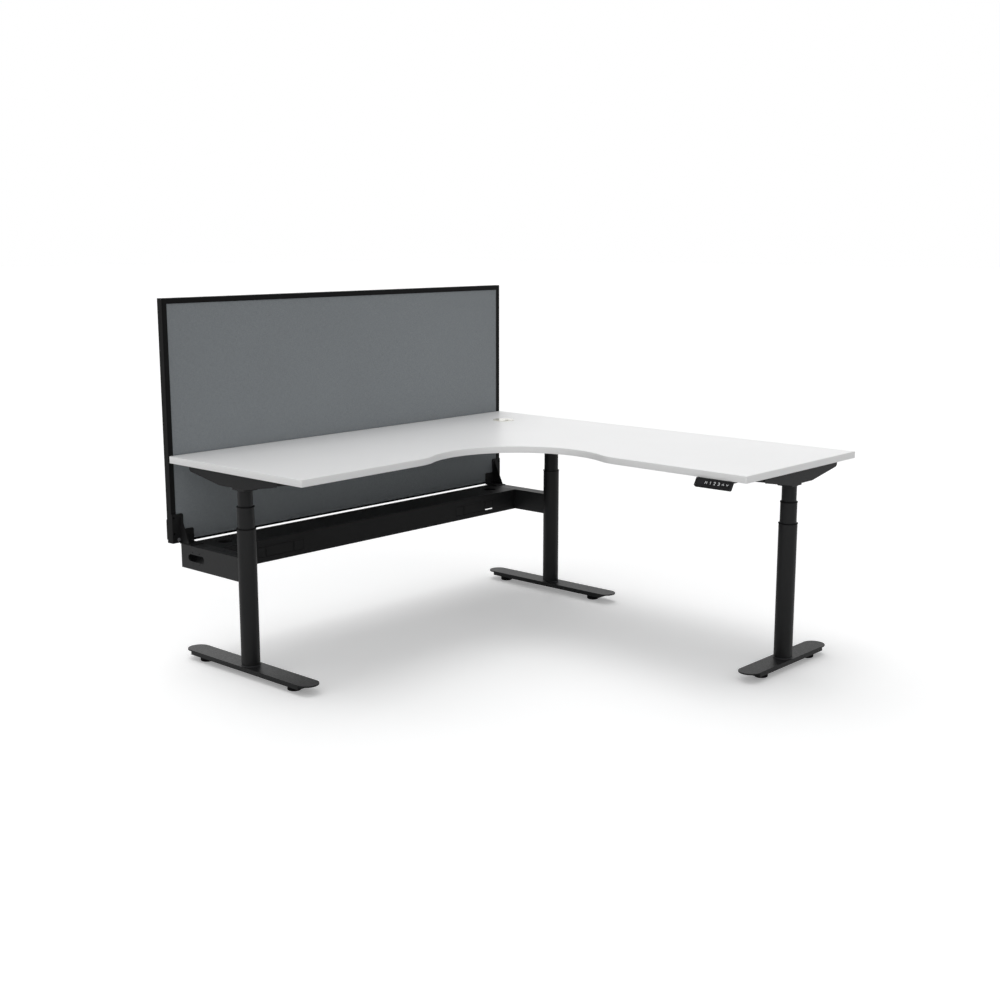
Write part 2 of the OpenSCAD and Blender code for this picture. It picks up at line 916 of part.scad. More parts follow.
module duct_profile() {
    difference() {
        square([duct_depth, duct_h]);
        translate([duct_t, -cut]) square([duct_depth - 2 * duct_t, duct_h - duct_t + cut]);
    }
    for (y = [0, duct_depth - duct_lip_w]) translate([y, 0]) square([duct_lip_w, duct_t]);
}

// The blanks' middles along the duct: short, long, short
outlet_step = (outlet_long_w + outlet_short_w) / 2 + outlet_web;

module outlet_places(end) {
    group_x = end < 0 ? duct_x_left + outlet_inset : duct_x_right - outlet_inset;
    translate([group_x, duct_y_front, outlet_z]) rotate([90, 0, 0]) {
        for (side = [-1, 1]) translate([side * outlet_step, 0, 0]) children(0);
        children(1);
    }
}

module outlet_window(width, height) {
    translate([0, 0, -duct_t - cut]) linear_extrude(duct_t + 2 * cut)
        square([width, height], center = true);
}

module cable_duct() {
    hole_y = duct_y_back - duct_depth / 2;
    color(steel_colour) at_corner() difference() {
        translate([duct_x_left, duct_y_back - duct_depth, duct_top - duct_h])
            rotate([90, 0, 90]) linear_extrude(duct_length) duct_profile();
        for (x = [duct_x_left + duct_hole_inset, duct_x_right - duct_hole_inset])
            translate([x, hole_y, duct_top - duct_t - cut])
                cylinder(d = duct_hole_d, h = duct_t + 2 * cut);
        for (end = [-1, 1]) outlet_places(end) {
            outlet_window(outlet_short_w, outlet_h);
            outlet_window(outlet_long_w, outlet_h);
        }
    }
}

// Three blanks on one strip behind the sheet, at each end of the duct. The
// blank nearest the corner is shorter, and leaves a slit open below it.
outlet_strip_t = 1.2;
outlet_strip_margin = 4;

module outlet_blank(width) {
    translate([0, 0, -duct_t]) linear_extrude(duct_t)
        square([width - 2 * outlet_gap, outlet_h - 2 * outlet_gap], center = true);
    translate([0, 0, -duct_t - outlet_strip_t]) linear_extrude(outlet_strip_t)
        square([width + 2 * outlet_strip_margin, outlet_h + 2 * outlet_strip_margin], center = true);
}

module outlet_blanks() {
    slit_x = duct_x_right - outlet_inset + outlet_step - outlet_short_w / 2;
    color(steel_colour) at_corner() difference() {
        for (end = [-1, 1]) outlet_places(end) {
            outlet_blank(outlet_short_w);
            outlet_blank(outlet_long_w);
        }
        translate([slit_x, duct_y_front - cut, outlet_z - outlet_h / 2])
            cube([outlet_short_w, duct_t + outlet_strip_t + 2 * cut, outlet_slit_h]);
    }
}

// Duct arms: channels with a seam along the top, coped onto the outer tubes

module duct_arm() {
    arm_length = column_setback - duct_back_gap;
    slot_y = arm_length - arm_slot_inset;
    slot_z = duct_top - duct_h / 2;
    color(steel_colour) difference() {
        translate([-arm_w / 2, 0, duct_top - duct_h]) cube([arm_w, arm_length, duct_h]);
        translate([-arm_w / 2 + arm_t, -cut, duct_top - duct_h - cut])
            cube([arm_w - 2 * arm_t, arm_length - arm_t + cut, duct_h - arm_t + cut]);
        translate([-arm_seam / 2, -cut, duct_top - arm_t - cut])
            cube([arm_seam, arm_length - bracket_base_reach + cut, arm_t + 2 * cut]);
        translate([0, 0, duct_top - duct_h - cut]) cylinder(d = outer_tube_d, h = duct_h + 2 * cut);
        translate([-arm_w / 2 - cut, slot_y, slot_z]) rotate([90, 0, 90])
            linear_extrude(arm_w + 2 * cut) {
                rotate(90) stadium(arm_slot_length, arm_slot_h);
                for (sy = [-1, 1], sz = [-1, 1])
                    translate([sy * arm_hole_pitch_y / 2, sz * arm_hole_pitch_z / 2])
                        circle(d = arm_hole_d);
            }
    }
}

module left_duct_arm() {
    at_left_post() duct_arm();
}

module corner_duct_arm() {
    at_corner_post() duct_arm();
}

// Screen: a covered board in slotted rails

screen_y_front = screen_gap;
screen_y_back = screen_gap + screen_rail_depth;
panel_t = screen_core_t + 2 * screen_fabric_t;
panel_y_front = screen_gap + (screen_rail_depth - panel_t) / 2;
panel_x_edge = screen_rail_w - screen_slot_depth + screen_slot_gap;
panel_bottom = screen_bottom + screen_bottom_rail_h - screen_bottom_slot_depth;
panel_top = screen_top - panel_x_edge;

// A rail's section: x from its outer side inwards, y from front to back
module rail_section(width, slot_depth) {
    r = screen_corner_r;
    groove_gap = 1;
    groove_x = r + groove_gap;
    difference() {
        union() {
            translate([r, 0]) square([width - r, screen_rail_depth]);
            translate([0, r]) square([width, screen_rail_depth - 2 * r]);
            for (y = [r, screen_rail_depth - r]) translate([r, y]) circle(r = r);
        }
        translate([width - slot_depth, screen_rail_depth / 2 - panel_t / 2 - screen_slot_gap])
            square([slot_depth + cut, panel_t + 2 * screen_slot_gap]);
        for (y = [0, screen_rail_depth])
            translate([groove_x, y]) square(screen_groove, center = true);
    }
}

// The rail screws come from the front through the brackets, and from behind
// through the clamp plates: +Z is the way a screw is driven in
module at_front_screws() {
    for (x = [bracket_bolt_inset - main_length, -bracket_bolt_inset],
            z = [bracket_bolt_low, bracket_bolt_low + bracket_bolt_pitch])
        translate([x, screen_y_front, duct_top + z]) rotate([-90, 0, 0]) children();
}

module at_rear_screws() {
    for (x = [bracket_bolt_inset - main_length, -bracket_bolt_inset], side = [-1, 1])
        translate([x, screen_y_back, duct_top + clamp_plate_rise + side * clamp_screw_pitch / 2])
            rotate([90, 0, 0]) children();
}

module rail_screw_bore() {
    translate([0, 0, -bracket_t - cut])
        cylinder(d = bracket_bolt_d, h = bracket_t + cut + bracket_bolt_bite);
}

module upright_rail() {
    difference() {
        translate([-main_length, screen_y_front, screen_bottom])
            linear_extrude(screen_height) rail_section(screen_rail_w, screen_slot_depth);
        at_front_screws() rail_screw_bore();
        at_rear_screws() rail_screw_bore();
    }
}

module screen_left_rail() {
    color(dark_colour) at_corner() upright_rail();
}

module screen_right_rail() {
    color(dark_colour) at_corner() translate([-main_length, 0, 0]) mirror([1, 0, 0]) upright_rail();
}

// Rails between the uprights: turn lays the section's outer side down or up
module cross_rail(width, slot_depth) {
    translate([screen_rail_w - main_length, screen_y_front, 0])
        rotate([0, -90, 0]) mirror([0, 0, 1])
            linear_extrude(main_length - 2 * screen_rail_w) rail_section(width, slot_depth);
}

module screen_bottom_rail() {
    color(dark_colour) at_corner() translate([0, 0, screen_bottom])
        cross_rail(screen_bottom_rail_h, screen_bottom_slot_depth);
}

module screen_top_rail() {
    color(dark_colour) at_corner() translate([0, 0, screen_top]) mirror([0, 0, 1])
        cross_rail(screen_rail_w, screen_slot_depth);
}

module panel_layer(front, thickness) {
    translate([panel_x_edge - main_length, front, panel_bottom])
        cube([main_length - 2 * panel_x_edge, thickness, panel_top - panel_bottom]);
}

module screen_front_fabric() {
    color(fabric_colour) at_corner() panel_layer(panel_y_front, screen_fabric_t);
}

module screen_board() {
    color(board_colour) at_corner() panel_layer(panel_y_front + screen_fabric_t, screen_core_t);
}

module screen_rear_fabric() {
    color(fabric_colour) at_corner()
        panel_layer(panel_y_front + screen_fabric_t + screen_core_t, screen_fabric_t);
}

// Screen brackets: x runs inwards from the screen's side edge

arm_outer = column_inset - arm_w / 2;
bracket_y_front = screen_y_front - bracket_t;

module bracket_plate_shape() {
    r = bracket_corner_r;
    low = screen_bottom - duct_top;
    difference() {
        union() {
            translate([0, low]) square([bracket_w, bracket_h - low - r]);
            translate([0, low]) square([bracket_w - r, bracket_h - low]);
            translate([bracket_w - r, bracket_h - r]) circle(r = r);
            translate([arm_outer, 0]) square([bracket_tab_w - arm_outer, bracket_tab_h - r]);
            translate([arm_outer, 0]) square([bracket_tab_w - arm_outer - r, bracket_tab_h]);
            translate([bracket_tab_w - r, bracket_tab_h - r]) circle(r = r);
        }
        for (z = [bracket_bolt_low, bracket_bolt_low + bracket_bolt_pitch])
            translate([bracket_bolt_inset, z]) circle(d = bracket_bolt_d);
    }
}

module bracket() {
    gusset_h = bracket_h - bracket_gusset_drop;
    translate([0, screen_y_front, duct_top]) rotate([90, 0, 0])
        linear_extrude(bracket_t) bracket_plate_shape();
    translate([bracket_gusset_inset + bracket_t / 2, 0, duct_top]) rotate([90, 0, -90])
        linear_extrude(bracket_t) polygon([
            [-bracket_y_front, 0], [bracket_gusset_reach, 0],
            [bracket_gusset_reach, bracket_t], [-bracket_y_front, gusset_h]]);
    translate([arm_outer, -bracket_base_reach, duct_top])
        cube([arm_w, bracket_base_reach + screen_y_front, bracket_t]);
}

module left_bracket() {
    color(dark_colour) at_corner() translate([-main_length, 0, 0]) bracket();
}

module right_bracket() {
    color(dark_colour) at_corner() mirror([1, 0, 0]) bracket();
}

module clamp_plates() {
    color(dark_colour) at_corner() for (x = [0, bracket_tab_w - main_length]) difference() {
        translate([x - bracket_tab_w / 2, screen_y_back + bracket_t, duct_top + clamp_plate_rise])
            rotate([90, 0, 0]) linear_extrude(bracket_t)
                rounded_rect(bracket_tab_w, clamp_plate_h, bracket_corner_r);
        at_rear_screws() rail_screw_bore();
    }
}

module rail_screw() {
    translate([0, 0, -bracket_t - bolt_head_h]) cylinder(d = bolt_head_d, h = bolt_head_h);
    translate([0, 0, -bracket_t]) cylinder(d = bracket_bolt_d, h = bracket_t + bracket_bolt_bite);
}

module rail_screws() {
    at_corner() {
        at_front_screws() rail_screw();
        at_rear_screws() rail_screw();
    }
}

module bracket_caps() {
    cap_h = 2;
    cap_rise = 5;
    cap_z = screen_bottom + bracket_cap_d / 2 + cap_rise;
    at_corner() for (x = [bracket_cap_inset - main_length, -bracket_cap_inset])
        translate([x, bracket_y_front, cap_z]) rotate([90, 0, 0]) cylinder(d = bracket_cap_d, h = cap_h);
}

module frame_bolts() {
    color(metal_colour) {
        column_screws();
        rail_screws();
        bracket_caps();
    }
}

// Handset under the return wing's inner edge. In its face frame +X points
// out of the face, +Y towards the return wing's end and +Z up the face.

handset_y = handset_from_end - return_length;
face_foot = 6;
face_drop = handset_h - face_foot;
face_lean = face_drop * tan(handset_tilt);
window_t = 1.5;
pocket_depth = key_t - key_proud + key_travel_room;
last_key = 5;
key_end_margin = 7.5;
window_margin = 5;

module at_face() {
    at_corner() translate([-wing_depth - handset_overhang - face_lean / 2,
            handset_y, board_bottom - face_drop / 2])
        rotate([0, 0, 180]) rotate([0, -handset_tilt, 0]) children();
}

// A block in the face, this far below it and this far above it
module face_block(y, width, height, below, above) {
    translate([-below, y - width / 2, -height / 2]) cube([below + above, width, height]);
}

function key_y(place) =
    handset_length / 2 - key_end_margin - key_w / 2 - key_pitch * (last_key - place);

window_y = key_y(0) - key_w / 2 - window_margin - window_length / 2;

// The panel's back, at this depth under the board
function panel_back(drop) =
    handset_panel_t / cos(handset_tilt) - handset_overhang - drop * tan(handset_tilt);

// A leaning panel that hangs from a flat flange under the board. Its end beside
// the window has a cut lower corner; its other end narrows towards the back.
module handset_shell() {
    lip = 3;
    corner_cut = 6;
    taper_depth = 2 * handset_depth;
    taper = taper_depth * tan(handset_end_taper);
    near_end = handset_length / 2;
    difference() {
        translate([-wing_depth, handset_y + handset_length / 2, board_bottom]) rotate([90, 0, 0])
            linear_extrude(handset_length) polygon([
                [handset_depth, 0],
                [-handset_overhang, 0],
                [-handset_overhang - face_lean, -face_drop],
                [lip - handset_overhang - face_lean, -handset_h],
                [panel_back(handset_h), -handset_h],
                [panel_back(handset_flange_t), -handset_flange_t],
                [handset_depth, -handset_flange_t]]);
        translate([-wing_depth - handset_h - handset_overhang,
                handset_y + handset_length / 2, board_bottom - handset_h])
            rotate([90, 0, 90]) linear_extrude(handset_depth + 2 * handset_h) polygon([
                [-corner_cut - cut, -cut],
                [cut, -cut],
                [cut, corner_cut + cut]]);
        at_face() linear_extrude(4 * handset_depth, center = true) polygon([
            [0, near_end],
            [-taper_depth, near_end - taper],
            [-taper_depth, near_end + taper],
            [0, near_end + taper]]);
    }
}

module handset() {
    color(dark_colour) difference() {
        at_corner() handset_shell();
        at_face() face_block(window_y, window_length, window_h, window_t, cut);
        for (place = [0:last_key]) at_face() {
            face_block(key_y(place), key_w + 2 * key_gap, key_h + 2 * key_gap, pocket_depth, cut);
            translate([-pocket_depth - key_stem_length, key_y(place), 0]) rotate([0, 90, 0])
                cylinder(d = key_stem_d + 2 * running_clearance, h = key_stem_length + cut);
        }
    }
}

module handset_window() {
    color("black") at_face() face_block(window_y, window_length, window_h, window_t, 0);
}

module key(place) {
    corner_r = 2;
    color([0.16, 0.16, 0.17]) at_face() translate([key_proud - key_t, key_y(place), 0]) {
        rotate([90, 0, 90]) linear_extrude(key_t) rounded_rect(key_w, key_h, corner_r);
        translate([-key_stem_length, 0, 0]) rotate([0, 90, 0])
            cylinder(d = key_stem_d, h = key_stem_length);
    }
}

module memory_key() {
    key(0);
}

module key_one() {
    key(1);
}

module key_two() {
    key(2);
}

module key_three() {
    key(3);
}

module up_key() {
    key(4);
}

module down_key() {
    key(last_key);
}

left_foot();
corner_foot();
return_foot();
left_outer_tube();
corner_outer_tube();
return_outer_tube();
outer_bushes();
left_rear_glide();
left_front_glide();
corner_rear_glide();
corner_front_glide();
return_rear_glide();
return_front_glide();
left_middle_tube();
corner_middle_tube();
return_middle_tube();
left_middle_bush();
corner_middle_bush();
return_middle_bush();
left_inner_tube();
corner_inner_tube();
return_inner_tube();
left_lift_screw();
corner_lift_screw();
return_lift_screw();
gear_housings();
lift_motors();
left_support();
corner_support();
return_support();
frame_rails();
control_box();
desktop();
edge_band();
desktop_screws();
grommet_liner();
grommet_cap();
cable_duct();
outlet_blanks();
left_duct_arm();
corner_duct_arm();
screen_board();
screen_front_fabric();
screen_rear_fabric();
screen_top_rail();
screen_bottom_rail();
screen_left_rail();
screen_right_rail();
left_bracket();
right_bracket();
clamp_plates();
frame_bolts();
handset();
handset_window();
memory_key();
key_one();
key_two();
key_three();
up_key();
down_key();
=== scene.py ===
"""Corner workstation: detailed pieces, materials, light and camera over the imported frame."""
import json
import math

import bmesh
import bpy
from mathutils import Matrix, Vector


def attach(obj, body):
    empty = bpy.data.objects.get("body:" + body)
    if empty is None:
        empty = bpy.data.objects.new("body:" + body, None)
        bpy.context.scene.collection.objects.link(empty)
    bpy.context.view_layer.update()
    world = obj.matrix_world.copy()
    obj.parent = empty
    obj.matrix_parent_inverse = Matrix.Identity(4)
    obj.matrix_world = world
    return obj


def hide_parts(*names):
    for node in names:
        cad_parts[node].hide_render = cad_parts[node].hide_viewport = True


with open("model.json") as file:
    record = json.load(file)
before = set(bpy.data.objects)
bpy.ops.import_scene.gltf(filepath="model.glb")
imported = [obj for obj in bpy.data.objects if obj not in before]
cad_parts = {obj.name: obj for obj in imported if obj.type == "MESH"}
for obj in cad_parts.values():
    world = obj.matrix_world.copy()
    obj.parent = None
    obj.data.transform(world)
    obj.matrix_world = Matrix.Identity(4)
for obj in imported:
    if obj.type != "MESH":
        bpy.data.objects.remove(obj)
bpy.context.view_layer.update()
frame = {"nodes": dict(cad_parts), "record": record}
nodes = frame["nodes"]
bodies = frame["record"]["behaviour"]["bodies"]
body_of = {node: body for body, members in bodies.items() for node in members}
slot_of = {part["node"]: part["material_slot"] for part in frame["record"]["subparts"]}
scene = bpy.context.scene

# Sizes in millimetres; places are from the desktop's back corner at (0, 0) and the floor
CORNER_X, CORNER_Y = 900.0, 881.3  # where that corner lies in the row frame
DESK_TOP, BOARD_T, BAND_T = 769.0, 25.0, 2.0
BOARD_BOTTOM = DESK_TOP - BOARD_T
LENGTH, DEPTH = 1800.0, 750.0
WAIST_DEPTH, SHOULDER_RISE = 675.0, 55.0
COVE_R, SHOULDER_R, BOARD_CORNER_R = 325.0, 200.0, 5.0
GROMMET_OFFSET, GROMMET_HOLE_R = 227.0, 40.0

COLUMN_INSET, COLUMN_SETBACK = 62.0, 364.0
POSTS = {
    "left": (COLUMN_INSET - LENGTH, -COLUMN_SETBACK),
    "corner": (-COLUMN_INSET, -COLUMN_SETBACK),
    "return": (-COLUMN_SETBACK, COLUMN_INSET - LENGTH),
}
OUTER_R, MIDDLE_R, INNER_R, TUBE_WALL = 34.0, 30.5, 27.0, 2.0
FOOT_TOP, FOOT_PLATE_T = 39.5, 5.0
COLUMN_FLOOR_T, MIDDLE_BASE_GAP = 6.0, 52.0
SUPPORT_DEPTH, HEAD_PLATE_T = 56.0, 6.0
INNER_REVEAL, MIDDLE_REVEAL = 59.0, 79.0
HEAD_BOTTOM = BOARD_BOTTOM - SUPPORT_DEPTH - HEAD_PLATE_T
MIDDLE_TOP = HEAD_BOTTOM - INNER_REVEAL
OUTER_TOP = MIDDLE_TOP - MIDDLE_REVEAL
BUSH_LENGTH, BUSH_LIP_H, BUSH_OVERHANG, BUSH_GAP = 34.0, 3.0, 1.5, 0.05

DUCT_TOP, SCREEN_LIFT, SHADE_RIM_WIDTH = 437.0, 4.0, 1.6
SCREEN_FRONT, SCREEN_REAR, BRACKET_T = 2.0, 32.0, 3.0
RAIL_SCREW_INSET, CAP_INSET, CAP_RISE = 7.5, 28.0, 12.0
CLOTH_INSET, CLOTH_LOW, CLOTH_HIGH = 13.15, 8.0, 890.85  # heights over the duct's top
CLOTH_FRONT, CLOTH_REAR, CLOTH_T = 4.5, 29.5, 1.5

# The handset's face: its middle line, its lean and the places of its keys
HANDSET_FRONT, HANDSET_FROM_END, FACE_DROP, FACE_LEAN = 752.0, 128.0, 12.5, 32.0
KEY_PITCH, LAST_KEY, KEY_PROUD = 17.2, 59.5, 1.3

# The strength of the world's light, and how far the floor is lifted towards white
WORLD_LEVEL, FLOOR_LIFT = 0.20, 0.24


def at(x, y, z):
    """A point in metres in the row frame."""
    return Vector(((x + CORNER_X) / 1000, (y + CORNER_Y) / 1000, z / 1000))


# Materials


def add_node(tree, kind, **values):
    """A new shader node with these settings."""
    node = tree.nodes.new(kind)
    for key, value in values.items():
        setattr(node, key, value)
    return node


class Graph:
    """Short names for a material's node tree; scales are per metre, distances in metres."""

    def __init__(self, name):
        self.mat = bpy.data.materials.new(name)
        self.mat.use_nodes = True
        self.tree = self.mat.node_tree
        self.tree.nodes.clear()
        out = self.node("ShaderNodeOutputMaterial")
        self.shader = self.node("ShaderNodeBsdfPrincipled")
        self.link(self.shader.outputs[0], out.inputs["Surface"])
        self.coords = self.node("ShaderNodeTexCoord").outputs["Object"]

    def node(self, kind, **values):
        return add_node(self.tree, kind, **values)

    def link(self, a, b):
        self.tree.links.new(a, b)

    def put(self, socket, value):
        if isinstance(value, bpy.types.NodeSocket):
            self.link(value, socket)
        else:
            socket.default_value = value

    def scaled(self, x, y, z):
        n = self.node("ShaderNodeMapping")
        self.link(self.coords, n.inputs["Vector"])
        n.inputs["Scale"].default_value = (x, y, z)
        return n.outputs[0]

    def noise(self, scale, detail=3.0, rough=0.6, vector=None):
        n = self.node("ShaderNodeTexNoise")
        self.link(vector or self.coords, n.inputs["Vector"])
        n.inputs["Scale"].default_value = scale
        n.inputs["Detail"].default_value = detail
        n.inputs["Roughness"].default_value = rough
        return n.outputs["Fac"]

    def voronoi(self, scale):
        n = self.node("ShaderNodeTexVoronoi")
        self.link(self.coords, n.inputs["Vector"])
        n.inputs["Scale"].default_value = scale
        return n.outputs["Distance"]

    def math(self, op, a, b=0.0):
        n = self.node("ShaderNodeMath", operation=op)
        self.put(n.inputs[0], a)
        self.put(n.inputs[1], b)
        return n.outputs[0]

    def ramp(self, value, low, high, to_low=0.0, to_high=1.0):
        n = self.node("ShaderNodeMapRange")
        self.link(value, n.inputs["Value"])
        n.inputs["From Min"].default_value = low
        n.inputs["From Max"].default_value = high
        n.inputs["To Min"].default_value = to_low
        n.inputs["To Max"].default_value = to_high
        return n.outputs[0]

    def mix(self, factor, a, b):
        n = self.node("ShaderNodeMix", data_type="RGBA")
        self.link(factor, n.inputs["Factor"])
        self.put(n.inputs["A"], a)
        self.put(n.inputs["B"], b)
        return n.outputs["Result"]

    def bump(self, height, strength, distance, normal=None):
        n = self.node("ShaderNodeBump")
        self.link(height, n.inputs["Height"])
        n.inputs["Strength"].default_value = strength
        n.inputs["Distance"].default_value = distance
        if normal is not None:
            self.link(normal, n.inputs["Normal"])
        return n.outputs[0]

    def finish(self, colour, rough, normal=None, **constants):
        """The material with these on its shader; constants are the shader's other sockets."""
        self.link(colour, self.shader.inputs["Base Color"])
        self.put(self.shader.inputs["Roughness"], rough)
        if normal is not None:
            self.link(normal, self.shader.inputs["Normal"])
        for name, value in constants.items():
            self.shader.inputs[name.replace("_", " ")].default_value = value
        return self.mat


def shade(rgb, k):
    """The colour made darker or lighter, with full alpha."""
    return (*(min(1.0, c * k) for c in rgb), 1.0)


def powder_coat(name, rgb, rough, grain=1800.0, specular=0.16):
    """Fine-textured powder coat: tiny pebbles, soft cloudiness and a little dust."""
    g = Graph(name)
    pebble = g.noise(grain, detail=2.0)
    cloud = g.noise(5.0, detail=4.0)
    dust = g.noise(160.0)
    base = g.mix(g.ramp(cloud, 0.3, 0.7), shade(rgb, 0.88), shade(rgb, 1.14))
    base = g.mix(g.ramp(pebble, 0.35, 0.75, to_high=0.35), base, shade(rgb, 1.7))
    base = g.mix(g.ramp(dust, 0.62, 0.8, to_high=0.22), base, shade(rgb, 1.9))
    normal = g.bump(pebble, strength=0.22, distance=0.0004)
    normal = g.bump(cloud, strength=0.05, distance=0.002, normal=normal)
    return g.finish(base, g.ramp(dust, 0.25, 0.75, rough - 0.06, rough + 0.08), normal,
                    Specular_IOR_Level=specular)


def moulded(name, rgb, rough, grain=1400.0, specular=0.3):
    """Injection-moulded plastic with a spark-eroded grain."""
    g = Graph(name)
    cells = g.voronoi(grain)
    soft = g.noise(40.0, rough=0.5)
    base = g.mix(g.ramp(soft, 0.3, 0.7), shade(rgb, 0.9), shade(rgb, 1.12))
    base = g.mix(g.ramp(cells, 0.1, 0.6, to_high=0.25), base, shade(rgb, 1.35))
    normal = g.bump(cells, strength=0.12, distance=0.0003)
    return g.finish(base, g.ramp(soft, 0.3, 0.7, rough - 0.05, rough + 0.06), normal,
                    Specular_IOR_Level=specular)


def melamine(name, rgb, rough, **more):
    """White laminate with a faint pearl texture and a slightly uneven tone."""
    g = Graph(name)
    pearl = g.noise(900.0, rough=0.55)
    tone = g.noise(2.2, rough=0.5)
    speck = g.voronoi(420.0)
    base = g.mix(g.ramp(tone, 0.3, 0.7), shade(rgb, 0.985), shade(rgb, 1.01))
    base = g.mix(g.ramp(speck, 0.0, 0.09, to_low=0.05, to_high=0.0), base, shade(rgb, 0.55))
    normal = g.bump(pearl, strength=0.10, distance=0.0002)
    return g.finish(base, g.ramp(pearl, 0.3, 0.7, rough - 0.04, rough + 0.06), normal, **more)


def woven(name, rgb):
    """Plain-weave panel cloth: warp and weft cross over and under, in a mottled yarn, with painted
    shade where the yarns dip.
    """
    pitch = 0.0016
    g = Graph(name)
    split = g.node("ShaderNodeSeparateXYZ")
    g.link(g.coords, split.inputs[0])
    wobble = g.math("MULTIPLY", g.noise(90.0, detail=2.0, rough=0.5), pitch * 0.7)
    a, b = (g.math("MULTIPLY", g.math("ADD", split.outputs[axis], wobble), math.pi / pitch)
            for axis in "XZ")
    sin_a, sin_b = g.math("SINE", a), g.math("SINE", b)
    round_a = g.math("MULTIPLY", sin_a, sin_a)
    round_b = g.math("MULTIPLY", sin_b, sin_b)
    over = g.math("MULTIPLY", g.math("COSINE", a), g.math("COSINE", b))
    over = g.ramp(over, -0.25, 0.25)
    height = g.math("ADD", g.math("MULTIPLY", round_a, over),
                    g.math("MULTIPLY", round_b, g.math("SUBTRACT", 1.0, over)))
    long_yarn = g.noise(1.0, vector=g.scaled(60.0, 60.0, 900.0))
    cross_yarn = g.noise(1.0, vector=g.scaled(900.0, 60.0, 60.0))
    broad = g.noise(3.0, detail=4.0, rough=0.55)
    fuzz = g.noise(2600.0, detail=2.0)
    yarn = g.math("ADD", g.math("MULTIPLY", long_yarn, 0.5), g.math("MULTIPLY", cross_yarn, 0.5))
    base = g.mix(g.ramp(yarn, 0.35, 0.65), shade(rgb, 0.80), shade(rgb, 1.20))
    # painted shade: the cloth is darkened where the yarns dip between the crossings
    base = g.mix(g.ramp(height, 0.0, 0.7, to_low=0.55, to_high=0.0), base, shade(rgb, 0.45))
    base = g.mix(g.ramp(broad, 0.3, 0.7, to_high=0.10), base, shade(rgb, 1.15))
    normal = g.bump(height, strength=0.55, distance=0.0004)
    normal = g.bump(fuzz, strength=0.25, distance=0.0002, normal=normal)
    return g.finish(base, g.ramp(fuzz, 0.3, 0.7, 0.86, 0.96), normal, Sheen_Weight=0.25,
                    Sheen_Roughness=0.5, Specular_IOR_Level=0.25)


def metal(name, rgb, rough=0.32, scratch=(60.0, 60.0, 1200.0)):
    """Bare metal with fine scratches and a blotchy patina."""
    g = Graph(name)
    drawn = g.noise(1.0, detail=4.0, vector=g.scaled(*scratch))
    patina = g.noise(140.0, detail=4.0)
    base = g.mix(g.ramp(patina, 0.3, 0.7), shade(rgb, 0.8), shade(rgb, 1.1))
    normal = g.bump(drawn, strength=0.12, distance=0.0002)
    return g.finish(base, g.ramp(patina, 0.25, 0.75, rough - 0.08, rough + 0.14), normal,
                    Metallic=1.0)


def gloss(name, rgb):
    """A glossy dark window with faint smears."""
    g = Graph(name)
    smear = g.noise(70.0)
    base = g.mix(g.ramp(smear, 0.3, 0.7), shade(rgb, 0.85), shade(rgb, 1.2))
    return g.finish(base, g.ramp(smear, 0.3, 0.8, 0.10, 0.20), Coat_Weight=0.10,
                    Coat_Roughness=0.05, Specular_IOR_Level=0.15)


def chipboard(name, rgb):
    """Pressed wood chips with darker fibres."""
    g = Graph(name)
    chips = g.voronoi(260.0)
    fibre = g.noise(600.0, detail=4.0)
    base = g.mix(g.ramp(chips, 0.1, 0.7), shade(rgb, 0.7), shade(rgb, 1.15))
    base = g.mix(g.ramp(fibre, 0.4, 0.7, to_high=0.4), base, shade(rgb, 0.6))
    return g.finish(base, 0.85, g.bump(chips, strength=0.4, distance=0.0006))


def plain_print(name, rgb):
    """Printed marks: a matt ink film with slightly uneven cover."""
    g = Graph(name)
    cover = g.noise(900.0)
    base = g.mix(g.ramp(cover, 0.35, 0.65), shade(rgb, 0.9), shade(rgb, 1.05))
    return g.finish(base, 0.55, g.bump(cover, strength=0.1, distance=0.0001))


